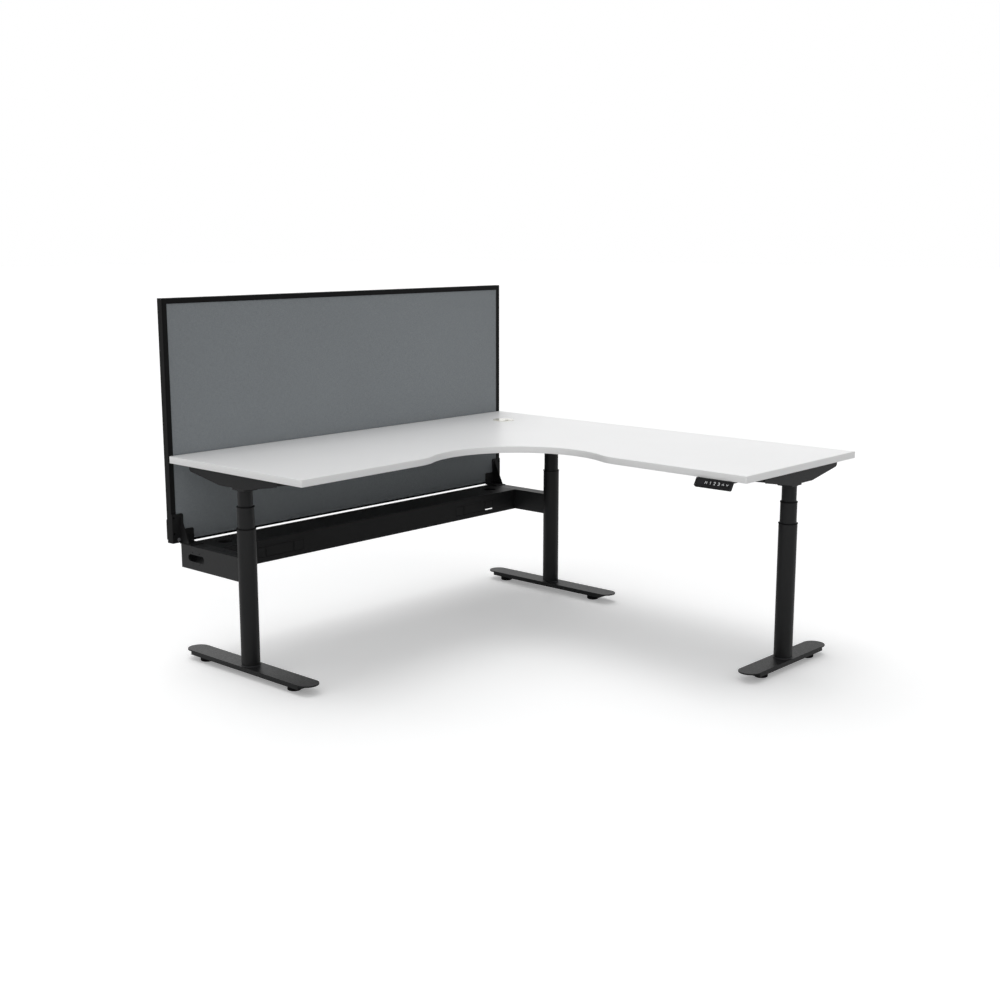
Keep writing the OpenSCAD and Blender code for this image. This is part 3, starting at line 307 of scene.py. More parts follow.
FINISHES = {
    "frame_paint": (powder_coat, (0.0098, 0.0100, 0.0104), dict(rough=0.40, specular=0.12)),
    "tube_paint": (powder_coat, (0.0118, 0.0120, 0.0124), dict(rough=0.44, specular=0.14)),
    "duct_paint": (powder_coat, (0.0118, 0.0119, 0.0122), dict(rough=0.46, specular=0.08)),
    "arm_paint": (powder_coat, (0.0175, 0.0178, 0.0184), dict(rough=0.44, specular=0.14)),
    "bracket_paint": (powder_coat, (0.0118, 0.0119, 0.0122), dict(rough=0.48, specular=0.08)),
    "board_white": (melamine, (0.90, 0.90, 0.90), dict(rough=0.36, IOR=1.50)),
    "edge_white": (melamine, (0.96, 0.96, 0.955), dict(rough=0.50)),
    "grommet_white": (moulded, (0.98, 0.93, 0.80), dict(rough=0.08, specular=1.0)),
    "black_plastic": (moulded, (0.018, 0.018, 0.020), dict(rough=0.52)),
    "handset_plastic": (moulded, (0.0095, 0.0096, 0.0100), dict(rough=0.5, specular=0.08)),
    "key_plastic": (moulded, (0.0125, 0.0127, 0.0132),
                    dict(rough=0.5, grain=2200.0, specular=0.1)),
    "window_plastic": (gloss, (0.006, 0.006, 0.008), dict()),
    "bush_plastic": (moulded, (0.0030, 0.0031, 0.0033), dict(rough=0.6, specular=0.06)),
    "bright_steel": (metal, (0.62, 0.63, 0.65), dict()),
    "black_steel": (powder_coat, (0.0022, 0.0022, 0.0023),
                    dict(rough=0.55, grain=3200.0, specular=0.04)),
    "gear_case": (metal, (0.42, 0.43, 0.44), dict(rough=0.5, scratch=(300.0, 300.0, 300.0))),
    "motor_case": (powder_coat, (0.030, 0.030, 0.032), dict(rough=0.42)),
    "screen_core": (chipboard, (0.45, 0.36, 0.25), dict()),
    "screen_fabric": (woven, (0.281, 0.303, 0.319), dict()),
    "screen_rail": (powder_coat, (0.0056, 0.0057, 0.0059), dict(rough=0.42, specular=0.06)),
    "glide_rubber": (moulded, (0.0035, 0.0035, 0.0038),
                     dict(rough=0.7, grain=900.0, specular=0.06)),
    "key_print": (plain_print, (0.78, 0.79, 0.80), dict()),
    "cap_plastic": (moulded, (0.13, 0.13, 0.135), dict(rough=0.5, specular=0.1)),
    "weld": (powder_coat, (0.020, 0.0205, 0.022), dict(rough=0.46, grain=900.0)),
}
MAT = {name: recipe(name, rgb, **more) for name, (recipe, rgb, more) in FINISHES.items()}


# Mesh building


def link(ob):
    scene.collection.objects.link(ob)
    return ob


def smooth(me, angle=32.0):
    """Smooth shading, with edges sharper than the angle kept sharp."""
    me.polygons.foreach_set("use_smooth", [True] * len(me.polygons))
    me.set_sharp_from_angle(angle=math.radians(angle))


def evaluated_mesh(ob):
    """A new mesh of the object with its modifiers applied."""
    deps = bpy.context.evaluated_depsgraph_get()
    return bpy.data.meshes.new_from_object(ob.evaluated_get(deps))


def applied(ob):
    """The object with its modifiers applied and its curve turned into a mesh."""
    me = evaluated_mesh(ob)
    name, matrix = ob.name, ob.matrix_world.copy()
    bpy.data.objects.remove(ob)
    me.transform(matrix)
    me.name = name
    return link(bpy.data.objects.new(name, me))


def weighted(ob):
    """Lets the large flat faces rule the normals along rounded edges."""
    m = ob.modifiers.new("Normals", "WEIGHTED_NORMAL")
    m.mode = "FACE_AREA"
    m.weight = 100
    m.keep_sharp = True
    me = evaluated_mesh(ob)
    me.name = ob.name
    ob.modifiers.clear()
    ob.data = me


def painted(ob, material):
    """The object with this material alone."""
    ob.data.materials.clear()
    ob.data.materials.append(MAT[material])
    return ob


def settle(ob, node=None, material=None, body=None, slot=None):
    """Gives a piece its material, by default the one its slot names, and its body, and lets it stand
    for its node, if any.
    """
    slot = slot or slot_of[node]
    if material or not ob.data.materials:
        painted(ob, material or slot)
    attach(ob, body or body_of[node])
    if node:
        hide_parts(node)


def paint_rim_shade(bm, width):
    """Paints a band of shade, in the second material, along the border of every face that looks
    forward.
    """
    front = [f for f in bm.faces if f.normal.y < -0.99]
    for f in bmesh.ops.inset_individual(bm, faces=front, thickness=width)["faces"]:
        f.material_index = 1


def refined(node, bevel, angle=30.0, material=None, merge=True, rim=None):
    """A copy of a CAD node with rounded edges.

    bevel is in millimetres, on edges sharper than angle. merge joins flat triangles first,
    and rim names the material of a band of painted shade round the front faces' borders.
    """
    me = nodes[node].data.copy()
    me.materials.clear()
    me.materials.append(MAT[material or slot_of[node]])
    if rim:
        me.materials.append(MAT[rim])
    bm = bmesh.new()
    bm.from_mesh(me)
    bmesh.ops.remove_doubles(bm, verts=bm.verts, dist=2e-5)
    if merge:
        flat = math.radians(0.6)
        bmesh.ops.dissolve_limit(bm, angle_limit=flat, verts=bm.verts, edges=bm.edges)
    # painted shade: a dark band round each front face stands in for the shade in the gap around it
    if rim:
        bm.normal_update()
        paint_rim_shade(bm, SHADE_RIM_WIDTH / 1000)
    bm.to_mesh(me)
    bm.free()
    smooth(me)
    ob = link(bpy.data.objects.new(node + "_piece", me))
    m = ob.modifiers.new("Bevel", "BEVEL")
    m.width = bevel / 1000
    m.segments = 2
    m.limit_method = "ANGLE"
    m.angle_limit = math.radians(angle)
    m.use_clamp_overlap = True
    ob = applied(ob)
    smooth(ob.data)
    weighted(ob)
    settle(ob, node)


def mesh_object(name, verts, faces, angle):
    """A new object from points in metres and faces, with its normals turned outward."""
    me = bpy.data.meshes.new(name)
    me.from_pydata([tuple(v) for v in verts], [], faces)
    me.validate()
    bm = bmesh.new()
    bm.from_mesh(me)
    bmesh.ops.recalc_face_normals(bm, faces=bm.faces)
    bm.to_mesh(me)
    bm.free()
    smooth(me, angle)
    return link(bpy.data.objects.new(name, me))


def filleted(points, radii, steps, closed=True):
    """The polyline with its corners rounded; radii is one number or one for each point."""
    nearly_straight = math.pi - 0.02
    share = 0.48  # of a side's length, the most that one corner takes
    n = len(points)
    out = []
    for i, p in enumerate(points):
        r = radii[i] if isinstance(radii, (list, tuple)) else radii
        if r <= 0 or (not closed and i in (0, n - 1)):
            out.append(tuple(p))
            continue
        p = Vector(p)
        a, b = Vector(points[i - 1]) - p, Vector(points[(i + 1) % n]) - p
        angle = a.angle(b)
        if angle > nearly_straight:
            out.append(tuple(p))
            continue
        t = min(r / math.tan(angle / 2), share * a.length, share * b.length)
        r = t * math.tan(angle / 2)
        middle = p + (a.normalized() + b.normalized()).normalized() * (r / math.sin(angle / 2))
        p1, p2 = p + a.normalized() * t - middle, p + b.normalized() * t - middle
        turn = math.atan2(p1.x * p2.y - p1.y * p2.x, p1.dot(p2))
        for k in range(steps + 1):
            w = turn * k / steps
            c, s = math.cos(w), math.sin(w)
            out.append((middle.x + p1.x * c - p1.y * s, middle.y + p1.x * s + p1.y * c))
    return out


def lathe(name, profile, place, segments, fillet=0.0, closed=False, angle=32.0, turned=None):
    """Turns a profile of (radius, height) in millimetres about an upright axis at place.

    fillet rounds the profile's corners, and turned lays the axis in another direction.
    """
    turned = turned or Matrix.Identity(3)
    verts, rings, faces = [], [], []
    for r, z in filleted(profile, fillet, steps=3, closed=closed):
        start = len(verts)
        if r < 1e-6:
            verts.append((0.0, 0.0, z))
        else:
            for k in range(segments):
                w = 2 * math.pi * k / segments
                verts.append((r * math.cos(w), r * math.sin(w), z))
        rings.append(list(range(start, len(verts))))
    pairs = list(zip(rings, rings[1:])) + ([(rings[-1], rings[0])] if closed else [])
    for low, high in pairs:
        for k in range(segments):
            j = (k + 1) % segments
            if len(low) == 1 and len(high) == 1:
                continue
            if len(low) == 1:
                faces.append((low[0], high[j], high[k]))
            elif len(high) == 1:
                faces.append((low[k], low[j], high[0]))
            else:
                faces.append((low[k], low[j], high[j], high[k]))
    placed = [at(*(turned @ Vector(v) + Vector(place))) for v in verts]
    return mesh_object(name, placed, faces, angle)


def add_spline(cu, points, cyclic):
    """A straight-sided spline through (x, y) points in millimetres."""
    sp = cu.splines.new("POLY")
    sp.points.add(len(points) - 1)
    for i, (x, y) in enumerate(points):
        sp.points[i].co = (x / 1000, y / 1000, 0.0, 1.0)
    sp.use_cyclic_u = cyclic


def curve_mesh(name, cu, matrix):
    """The curve as a mesh object, laid out by the matrix."""
    ob = link(bpy.data.objects.new(name, cu))
    ob.matrix_world = matrix
    bpy.context.view_layer.update()
    return applied(ob)


def plate(name, loops, thickness, bevel, matrix, resolution=2):
    """A flat shape with holes, in millimetres, extruded from z = 0 up, with rounded rims."""
    cu = bpy.data.curves.new(name, "CURVE")
    cu.dimensions = "2D"
    cu.fill_mode = "BOTH"
    cu.extrude = (thickness / 2 - bevel) / 1000
    cu.bevel_depth = bevel / 1000
    cu.bevel_resolution = resolution
    cu.offset = -bevel / 1000
    for loop in loops:
        add_spline(cu, loop, True)
    ob = curve_mesh(name, cu, matrix @ Matrix.Translation((0, 0, thickness / 2000)))
    bm = bmesh.new()
    bm.from_mesh(ob.data)
    bmesh.ops.remove_doubles(bm, verts=bm.verts, dist=1e-6)
    bmesh.ops.recalc_face_normals(bm, faces=bm.faces)
    bm.to_mesh(ob.data)
    bm.free()
    smooth(ob.data)
    up = matrix.to_3x3().normalized() @ Vector((0, 0, 1))
    for f in ob.data.polygons:
        f.use_smooth = abs(f.normal.dot(up)) < 0.9999
    return ob


def stroke(name, paths, radius, matrix, flat):
    """Round-ended strips along open paths, in millimetres, with their height times flat."""
    cu = bpy.data.curves.new(name, "CURVE")
    cu.dimensions = "3D"
    cu.bevel_depth = radius / 1000
    cu.bevel_resolution = 3
    cu.use_fill_caps = True
    for path in paths:
        add_spline(cu, path, False)
    ob = curve_mesh(name, cu, matrix @ Matrix.Diagonal((1.0, 1.0, flat, 1.0)))
    smooth(ob.data, 50.0)
    return ob


def frame_at(x, y, z, x_axis, y_axis):
    """A matrix with its origin at that point and the given axes, for plates."""
    xa, ya = Vector(x_axis).normalized(), Vector(y_axis).normalized()
    m = Matrix((xa, ya, xa.cross(ya))).transposed().to_4x4()
    m.translation = at(x, y, z)
    return m


def turned_to(axis):
    """The rotation that lays an upright lathe axis along this direction."""
    return Vector((0, 0, 1)).rotation_difference(Vector(axis)).to_matrix()


def circle(cx, cy, r, n):
    return [(cx + r * math.cos(2 * math.pi * k / n), cy + r * math.sin(2 * math.pi * k / n))
            for k in range(n)]


def arc(centre, r, a0, a1):
    """Points from angle a0 to a1, in degrees, about 1.5 degrees apart."""
    n = max(2, int(abs(a1 - a0) / 1.5))
    return [(centre[0] + r * math.cos(math.radians(a0 + (a1 - a0) * k / n)),
             centre[1] + r * math.sin(math.radians(a0 + (a1 - a0) * k / n))) for k in range(n + 1)]


def joined(name, parts):
    """One object from several, with each one's own material kept."""
    bm = bmesh.new()
    mats = []
    for ob in parts:
        slots = list(ob.data.materials) or [None]
        for m in slots:
            if m not in mats:
                mats.append(m)
        start = len(bm.faces)
        bm.from_mesh(ob.data)
        bm.faces.ensure_lookup_table()
        for f in bm.faces[start:]:
            f.material_index = mats.index(slots[min(f.material_index, len(slots) - 1)])
    me = bpy.data.meshes.new(name)
    bm.to_mesh(me)
    bm.free()
    for m in mats:
        if m:
            me.materials.append(m)
    for ob in parts:
        bpy.data.objects.remove(ob)
    return link(bpy.data.objects.new(name, me))


def screw(name, place, axis, head_d, head_h, shank_d, shank, socket):
    """A screw with a hexagon socket; place is where its head's underside sits."""
    sides, chamfer = 32, 0.5
    turn = turned_to(axis)
    r, shank_r = head_d / 2, shank_d / 2
    rim_h, floor_h, crown_low = head_h * 0.35, head_h * 0.45, head_h * 0.4
    profile = [(0.0, -shank), (shank_r - chamfer, -shank), (shank_r, chamfer - shank),
               (shank_r, 0.0), (r, 0.0), (r, rim_h), (r * 0.97, floor_h), (0.0, floor_h)]
    body = lathe(name + "_body", profile, place, sides, angle=40.0, turned=turn)
    seat = Vector(place) + turn @ Vector((0, 0, crown_low))
    outlines = [circle(0, 0, r * 0.98, sides), circle(0, 0, socket, 6)]
    matrix = Matrix.Translation(at(*seat)) @ turn.to_4x4()
    crown = plate(name + "_crown", outlines, head_h * 0.6, bevel=0.2, matrix=matrix)
    return joined(name, [body, crown])


def weld_ring(name, x, y, z, radius, up, body):
    """A rippled weld bead round a tube; up is 1 over a plate and -1 under one."""
    size, sunk, near_tube = 3.2, 0.6, 0.4
    ripples, ripple_share = 46, 0.006
    profile = [(radius - sunk, z), (radius + size, z),
               (radius + size * 0.82, z + up * size * 0.35),
               (radius + size * 0.42, z + up * size * 0.78), (radius - sunk, z + up * size * 1.05)]
    bead = lathe(name, profile, (x, y, 0), 160, fillet=0.7, closed=True, angle=60.0)
    centre = at(x, y, 0)
    for v in bead.data.vertices:
        dx, dy = v.co.x - centre.x, v.co.y - centre.y
        if math.hypot(dx, dy) > (radius + near_tube) / 1000:
            k = 1.0 + ripple_share * math.sin(ripples * math.atan2(dy, dx))
            v.co.x, v.co.y = centre.x + dx * k, centre.y + dy * k
    settle(bead, material="weld", body=body, slot="frame_paint")


# Desktop


def wing_edge(inset):
    """The user's edge of one wing from its end to the cove's middle, as (along, across)."""
    middle = WAIST_DEPTH + COVE_R
    across = WAIST_DEPTH + SHOULDER_RISE - SHOULDER_R
    along = middle + math.sqrt((COVE_R + SHOULDER_R) ** 2 - (middle - across) ** 2)
    cove, shoulder = Vector((middle, middle)), Vector((along, across))
    reach = Vector((LENGTH, DEPTH)) - shoulder
    turn = math.degrees(math.atan2(reach.y, reach.x) + math.acos(SHOULDER_R / reach.length))
    to_cove = math.degrees(math.atan2(cove.y - shoulder.y, cove.x - shoulder.x))
    bend = arc(shoulder, SHOULDER_R - inset, turn, to_cove)
    start = bend[0]
    end = (LENGTH - inset, start[1] - (LENGTH - inset - start[0]) / math.tan(math.radians(turn)))
    return [end] + bend + arc(cove, COVE_R + inset, to_cove + 180.0, 225.0)[1:]


def board_loop(inset):
    """The desktop's outline, moved in by inset, with the corners at the back and ends rounded."""
    one = wing_edge(inset)
    loop = [(inset, inset), (LENGTH - inset, inset)] + one
    loop += [(b, a) for a, b in reversed(one[:-1])] + [(inset, LENGTH - inset)]
    n, least = len(loop), 0.6
    radii = [0.0] * n
    for i in (0, 1, 2, n - 2, n - 1):
        radii[i] = max(BOARD_CORNER_R - inset, least)
    return [(-a, -b) for a, b in filleted(loop, radii, steps=5)]


def build_desktop():
    """The board and the band glued round it, a hair apart."""
    glue_gap = 0.03
    under = frame_at(0, 0, BOARD_BOTTOM, (1, 0, 0), (0, 1, 0))
    hole = circle(-GROMMET_OFFSET, -GROMMET_OFFSET, GROMMET_HOLE_R, 72)
    loops = [board_loop(BAND_T + glue_gap), hole]
    board = plate("desktop_board", loops, BOARD_T, bevel=0.15, matrix=under, resolution=1)
    settle(board, "desktop")
    loops = [board_loop(0.0), board_loop(BAND_T)]
    band = plate("desktop_edge_band", loops, BOARD_T, bevel=0.7, matrix=under)
    settle(band, "edge_band")


# Columns

COLUMN_SIDES = 128


def bush_profile(tube_r, holder_r, top):
    """A guide bush: a sleeve round a tube, in the holding tube, with a lip over its end."""
    bore, seat, lip = tube_r + BUSH_GAP, holder_r - TUBE_WALL, holder_r + BUSH_OVERHANG
    rim = top - BUSH_LIP_H
    low = rim - BUSH_LENGTH
    return [(bore, low), (seat, low), (seat, rim), (lip, rim), (lip, top), (bore, top)]


def build_columns():
    """Three columns of three tubes each, with their bushes, screws and welds."""
    outer_end, middle_end = OUTER_TOP - BUSH_LIP_H, MIDDLE_TOP - BUSH_LIP_H
    column_floor = FOOT_TOP + COLUMN_FLOOR_T
    middle_low = column_floor + MIDDLE_BASE_GAP
    outer_bore, middle_bore = OUTER_R - TUBE_WALL, MIDDLE_R - TUBE_WALL
    for name, (x, y) in POSTS.items():
        foot = (x, y, 0)
        outer = lathe(name + "_outer_column", [
            (outer_bore, column_floor), (outer_bore, outer_end), (OUTER_R, outer_end),
            (OUTER_R, FOOT_TOP), (0.0, FOOT_TOP), (0.0, column_floor)],
            foot, COLUMN_SIDES, fillet=0.5)
        settle(outer, name + "_outer_tube")
        middle = lathe(name + "_middle_column", [
            (middle_bore, middle_low), (MIDDLE_R, middle_low), (MIDDLE_R, middle_end),
            (middle_bore, middle_end)], foot, COLUMN_SIDES, fillet=0.4, closed=True)
        settle(middle, name + "_middle_tube")
        bush = bush_profile(INNER_R, MIDDLE_R, MIDDLE_TOP)
        ring = lathe(name + "_middle_ring", bush, foot, COLUMN_SIDES, fillet=0.5, closed=True)
        settle(ring, name + "_middle_bush")
        bush = bush_profile(MIDDLE_R, OUTER_R, OUTER_TOP)
        ring = lathe(name + "_outer_ring", bush, foot, COLUMN_SIDES, fillet=0.5, closed=True)
        settle(ring, material="bush_plastic", body="base_frame", slot="bush_plastic")
        if name == "left":
            # one node holds all three outer bushes, and this ring stands for it
            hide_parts("outer_bushes")
        refined(name + "_inner_tube", bevel=0.5)
        refined(name + "_lift_screw", bevel=0.6)
        weld_ring(name + "_base_weld", x, y, FOOT_TOP, OUTER_R, 1, "base_frame")
        weld_ring(name + "_head_weld", x, y, HEAD_BOTTOM, INNER_R, -1, "lift_frame")


# Screen

CLOTH_COLUMNS, CLOTH_ROWS = 96, 48


def cloth_points(face, inner, outward):
    """Two layers of points: the crowned outer face of a tight cloth and its flat inner one."""
    crown, sunk = 0.9, 0.35
    turn_in, softness = 8.0, 9.0
    ripple_height, ripple_fade, wave_x, wave_z = 0.10, 60.0, 61.0, 83.0
    x0, x1 = CLOTH_INSET - LENGTH, -CLOTH_INSET
    z0, z1 = DUCT_TOP + CLOTH_LOW, DUCT_TOP + CLOTH_HIGH
    points = []
    for outer in (True, False):
        for j in range(CLOTH_ROWS + 1):
            for i in range(CLOTH_COLUMNS + 1):
                # closer rows near the rails, where the cloth turns in
                u = 0.5 - 0.5 * math.cos(math.pi * (i / CLOTH_COLUMNS))
                v = 0.5 - 0.5 * math.cos(math.pi * (j / CLOTH_ROWS))
                x, y, z = x0 + (x1 - x0) * u, inner, z0 + (z1 - z0) * v
                if outer:
                    edge = min(x - x0, x1 - x, z - z0, z1 - z)
                    rise = crown * (1 - math.exp(-max(edge - turn_in, 0.0) / softness))
                    ripple = ripple_height * math.sin(x / wave_x) * math.sin(z / wave_z)
                    y = face + outward * (rise - sunk + ripple * min(1.0, edge / ripple_fade))
                points.append(at(x, y, z))
    return points


def cloth_faces():
    """The faces of both layers, and the rim that joins them."""
    row = CLOTH_COLUMNS + 1
    layer = row * (CLOTH_ROWS + 1)
    faces, rim = [], []
    for j in range(CLOTH_ROWS):
        for i in range(CLOTH_COLUMNS):
            a = j * row + i
            faces.append((a, a + 1, a + row + 1, a + row))
            faces.append((layer + a + row, layer + a + row + 1, layer + a + 1, layer + a))
    for j in range(CLOTH_ROWS):
        left, right = j * row, j * row + CLOTH_COLUMNS
        rim += [(left, left + row), (right + row, right)]
    for i in range(CLOTH_COLUMNS):
        low, high = i, CLOTH_ROWS * row + i
        rim += [(low + 1, low), (high, high + 1)]
    return faces + [(a, b, layer + b, layer + a) for a, b in rim]


def build_screen():
    """The two cloths, the four rails and the board between them."""
    for name, node, face, inner, outward in (
            ("screen_front_cloth", "screen_front_fabric", CLOTH_FRONT, CLOTH_FRONT + CLOTH_T, -1.0),
            ("screen_rear_cloth", "screen_rear_fabric", CLOTH_REAR, CLOTH_REAR - CLOTH_T, 1.0)):
        ob = mesh_object(name, cloth_points(face, inner, outward), cloth_faces(), angle=40.0)
        settle(ob, node)
    for side in ("top", "bottom", "left", "right"):
        refined("screen_" + side + "_rail", bevel=0.35, angle=40.0)
    refined("screen_board", bevel=0.3)


# Screws and key marks

FOOT_SCREW = dict(head_d=10.2, head_h=3.6, shank_d=6.0, shank=11.0, socket=2.6)
FOOT_SCREW_CIRCLE = 44.0
RAIL_SCREW = dict(head_d=7.0, head_h=2.4, shank_d=4.0, shank=16.0, socket=1.7)
BRACKET_FACE, CLAMP_FACE = SCREEN_FRONT - BRACKET_T, SCREEN_REAR + BRACKET_T
# Name, face, outward direction and heights over the duct
RAIL_SCREW_ROWS = (("_front_screw_", BRACKET_FACE, (0, -1, 0), (40.0, 100.0)),
                   ("_rear_screw_", CLAMP_FACE, (0, 1, 0), (29.0, 77.0)))
# A round cap as (radius, height)
CAP_PROFILE = [(0.0, 2.0), (4.4, 1.95), (5.9, 1.6), (6.8, 0.8), (7.0, 0.0), (0.0, 0.0)]


def build_bolts():
    """The screws under the columns, the rail screws and the round bracket caps."""
    parts = []
    circle_r = FOOT_SCREW_CIRCLE / 2
    for name, (x, y) in POSTS.items():
        for k in range(4):
            w = math.radians(45 + 90 * k)
            place = (x + circle_r * math.cos(w), y + circle_r * math.sin(w), FOOT_TOP - FOOT_PLATE_T)
            bolt = screw(name + "_foot_screw_" + str(k), place, (0, 0, -1), **FOOT_SCREW)
            parts.append(painted(bolt, "bright_steel"))
    for side, x in (("left", RAIL_SCREW_INSET - LENGTH), ("right", -RAIL_SCREW_INSET)):
        for row, y, axis, heights in RAIL_SCREW_ROWS:
            for k, z in enumerate(heights):
                bolt = screw(side + row + str(k), (x, y, DUCT_TOP + z), axis, **RAIL_SCREW)
                parts.append(painted(bolt, "black_steel"))
    for side, x in (("left", CAP_INSET - LENGTH), ("right", -CAP_INSET)):
        place = (x, BRACKET_FACE, DUCT_TOP + SCREEN_LIFT + CAP_RISE)
        cap = lathe(side + "_cap", CAP_PROFILE, place, 64, angle=50.0, turned=turned_to((0, -1, 0)))
        parts.append(painted(cap, "cap_plastic"))
    settle(joined("frame_bolts_piece", parts), "frame_bolts")


# Each mark as open strokes in a square of side 1
LEGENDS = {
    "memory_key": [[(0, 0), (0.06, 1), (0.5, 0.36), (0.94, 1), (1, 0)]],
    "key_one": [[(0.26, 0.76), (0.6, 1), (0.6, 0)]],
    "key_two": [[(0.06, 0.76), (0.2, 0.94), (0.5, 1), (0.8, 0.92), (0.9, 0.72), (0.78, 0.48),
                 (0.05, 0), (0.95, 0)]],
    "key_three": [[(0.08, 0.88), (0.35, 1), (0.7, 0.97), (0.88, 0.78), (0.76, 0.58), (0.42, 0.53),
                   (0.8, 0.46), (0.92, 0.25), (0.76, 0.05), (0.4, 0), (0.06, 0.12)]],
    "up_key": [[(0, 0.22), (0.5, 0.82), (1, 0.22)]],
    "down_key": [[(0, 0.78), (0.5, 0.18), (1, 0.78)]],
}


def build_legends():
    """Printed marks on the keys, in the handset's face frame."""
    width, height, line_r, flat = 7.6, 10.2, 1.0, 0.14
    lean = math.radians(FACE_LEAN)
    s, c = math.sin(lean), math.cos(lean)
    face = Vector((-HANDSET_FRONT - FACE_DROP * math.tan(lean), HANDSET_FROM_END - LENGTH,
                   BOARD_BOTTOM - FACE_DROP))
    for k, (node, paths) in enumerate(LEGENDS.items()):
        along = LAST_KEY - KEY_PITCH * (len(LEGENDS) - 1 - k)
        spot = face + along * Vector((0, -1, 0)) + KEY_PROUD * Vector((-c, 0, s))
        matrix = frame_at(*spot, (0, -1, 0), (s, 0, c))
        drawn = [[((u - 0.5) * width, (v - 0.5) * height) for u, v in path] for path in paths]
        mark = stroke(node + "_legend", drawn, line_r, matrix, flat)
        settle(mark, material="key_print", body=body_of[node], slot=slot_of[node])


# Remaining nodes

# Widths of the rounded edges in millimetres
BEVELS = {
    "gear_housings": 2.0, "lift_motors": 1.2,
    "left_support": 0.8, "corner_support": 0.8, "return_support": 0.8,
    "frame_rails": 1.2, "control_box": 1.5, "desktop_screws": 0.5,
    "grommet_liner": 0.6, "grommet_cap": 0.5,
    "left_bracket": 0.7, "right_bracket": 0.7, "clamp_plates": 0.7,
    "handset": 0.8, "handset_window": 0.15,
}


def build_rest():
    """Every node that keeps its CAD shape, as a copy with rounded edges."""
    for post in POSTS:
        refined(post + "_foot", bevel=1.3)
    for post in POSTS:
        refined(post + "_rear_glide", bevel=0.6)
        refined(post + "_front_glide", bevel=0.6)
    for node, bevel in BEVELS.items():
        refined(node, bevel)
    for key in LEGENDS:
        refined(key, bevel=0.5)
    # painted shade: a black_steel band round each blank's front face stands in for the shade in the
    # gap
    refined("outlet_blanks", bevel=0.6, rim="black_steel")
    for post in ("left", "corner"):
        refined(post + "_duct_arm", bevel=0.9, material="arm_paint")
    refined("cable_duct", bevel=0.9, merge=False)


# Camera, floor, light

CAMERA_PLACE, CAMERA_TILT, CAMERA_HEADING = (-4701.9, -4271.0, 1565.9), 10.82, -47.76
CAMERA_LENS, CAMERA_SENSOR, CAMERA_REACH = 50.0, 36.0, 200.0
FLOOR_REACH = 60.0
FLOOR_TONE, BOUNCE_TONE = 0.95, 0.55  # as seen, and for the light that the floor throws back
# Where each lamp shines from in metres, its width in degrees and its strength
LAMPS = {
    "overhead_light": ((0.1, 0.4, 4.0), 30.0, 0.46),
    "soft_light": ((0.3, 1.0, 4.0), 55.0, 0.62),
    "rear_light": ((1.5, 4.0, 4.0), 60.0, 0.66),
    "front_light": ((-4.2, -3.0, 1.7), 120.0, 1.42),
}


def grey(level):
    return (level, level, level, 1.0)


def seen_directly(tree):
    """1 for camera, glossy and transmission rays, and 0 for the light that bounces."""
    paths = add_node(tree, "ShaderNodeLightPath")
    total = paths.outputs["Is Camera Ray"]
    for ray in ("Is Glossy Ray", "Is Transmission Ray"):
        higher = add_node(tree, "ShaderNodeMath", operation="MAXIMUM")
        tree.links.new(total, higher.inputs[0])
        tree.links.new(paths.outputs[ray], higher.inputs[1])
        total = higher.outputs[0]
    return total


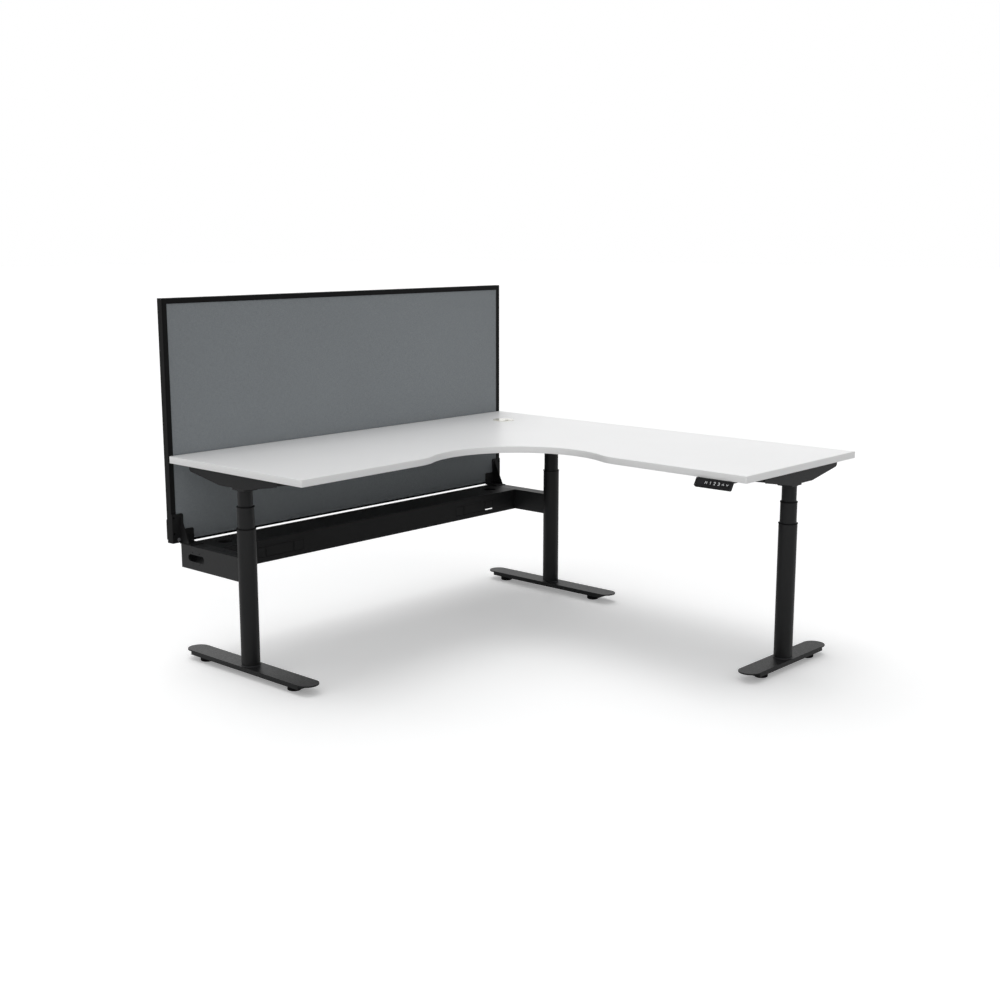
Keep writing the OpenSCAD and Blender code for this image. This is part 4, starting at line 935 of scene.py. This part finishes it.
def floor_material():
    """A pale matt floor with a faint glow that lifts it towards white."""
    mat = bpy.data.materials.new("floor")
    mat.use_nodes = True
    tree = mat.node_tree
    tree.nodes.clear()
    out = add_node(tree, "ShaderNodeOutputMaterial")
    direct = seen_directly(tree)
    tone = add_node(tree, "ShaderNodeMix", data_type="RGBA")
    tree.links.new(direct, tone.inputs["Factor"])
    tone.inputs["A"].default_value = grey(BOUNCE_TONE)
    tone.inputs["B"].default_value = grey(FLOOR_TONE)
    diffuse = add_node(tree, "ShaderNodeBsdfDiffuse")
    tree.links.new(tone.outputs["Result"], diffuse.inputs["Color"])
    glow = add_node(tree, "ShaderNodeEmission")
    lift = add_node(tree, "ShaderNodeMath", operation="MULTIPLY")
    lift.inputs[1].default_value = FLOOR_LIFT
    tree.links.new(direct, lift.inputs[0])
    tree.links.new(lift.outputs[0], glow.inputs["Strength"])
    add = add_node(tree, "ShaderNodeAddShader")
    tree.links.new(diffuse.outputs[0], add.inputs[0])
    tree.links.new(glow.outputs[0], add.inputs[1])
    tree.links.new(add.outputs[0], out.inputs[0])
    return mat


def studio_world():
    """A soft, even light that the camera and reflections see as white."""
    world = bpy.data.worlds.new("studio")
    world.use_nodes = True
    tree = world.node_tree
    tree.nodes.clear()
    out = add_node(tree, "ShaderNodeOutputWorld")
    soft = add_node(tree, "ShaderNodeBackground")
    soft.inputs["Color"].default_value = (0.98, 0.99, 1.0, 1)
    soft.inputs["Strength"].default_value = WORLD_LEVEL
    white = add_node(tree, "ShaderNodeBackground")
    white.inputs["Color"].default_value = grey(1.0)
    mix = add_node(tree, "ShaderNodeMixShader")
    tree.links.new(seen_directly(tree), mix.inputs[0])
    tree.links.new(soft.outputs[0], mix.inputs[1])
    tree.links.new(white.outputs[0], mix.inputs[2])
    tree.links.new(mix.outputs[0], out.inputs[0])
    return world


def add_camera():
    cam = link(bpy.data.objects.new("camera", bpy.data.cameras.new("camera")))
    cam.location = at(*CAMERA_PLACE)
    cam.rotation_euler = (math.radians(90 - CAMERA_TILT), 0.0, math.radians(CAMERA_HEADING))
    cam.data.lens = CAMERA_LENS
    cam.data.sensor_width = CAMERA_SENSOR
    cam.data.clip_end = CAMERA_REACH
    scene.camera = cam


def add_floor():
    me = bpy.data.meshes.new("floor")
    r = FLOOR_REACH
    me.from_pydata([(-r, -r, 0), (r, -r, 0), (r, r, 0), (-r, r, 0)], [], [(0, 1, 2, 3)])
    floor = link(bpy.data.objects.new("floor", me))
    me.materials.append(floor_material())


def add_sun(name, place, width, strength):
    """A lamp that shines from place towards the origin."""
    light = bpy.data.lights.new(name, "SUN")
    light.angle = math.radians(width)
    light.energy = strength
    ob = link(bpy.data.objects.new(name, light))
    ob.location = place
    ob.rotation_euler = (-Vector(place)).to_track_quat("-Z", "Y").to_euler()


def build_stage():
    add_camera()
    add_floor()
    scene.world = studio_world()
    for name, (place, width, strength) in LAMPS.items():
        add_sun(name, place, width, strength)
    scene.view_settings.view_transform = "Standard"


build_desktop()
build_columns()
build_screen()
build_bolts()
build_legends()
build_rest()
build_stage()
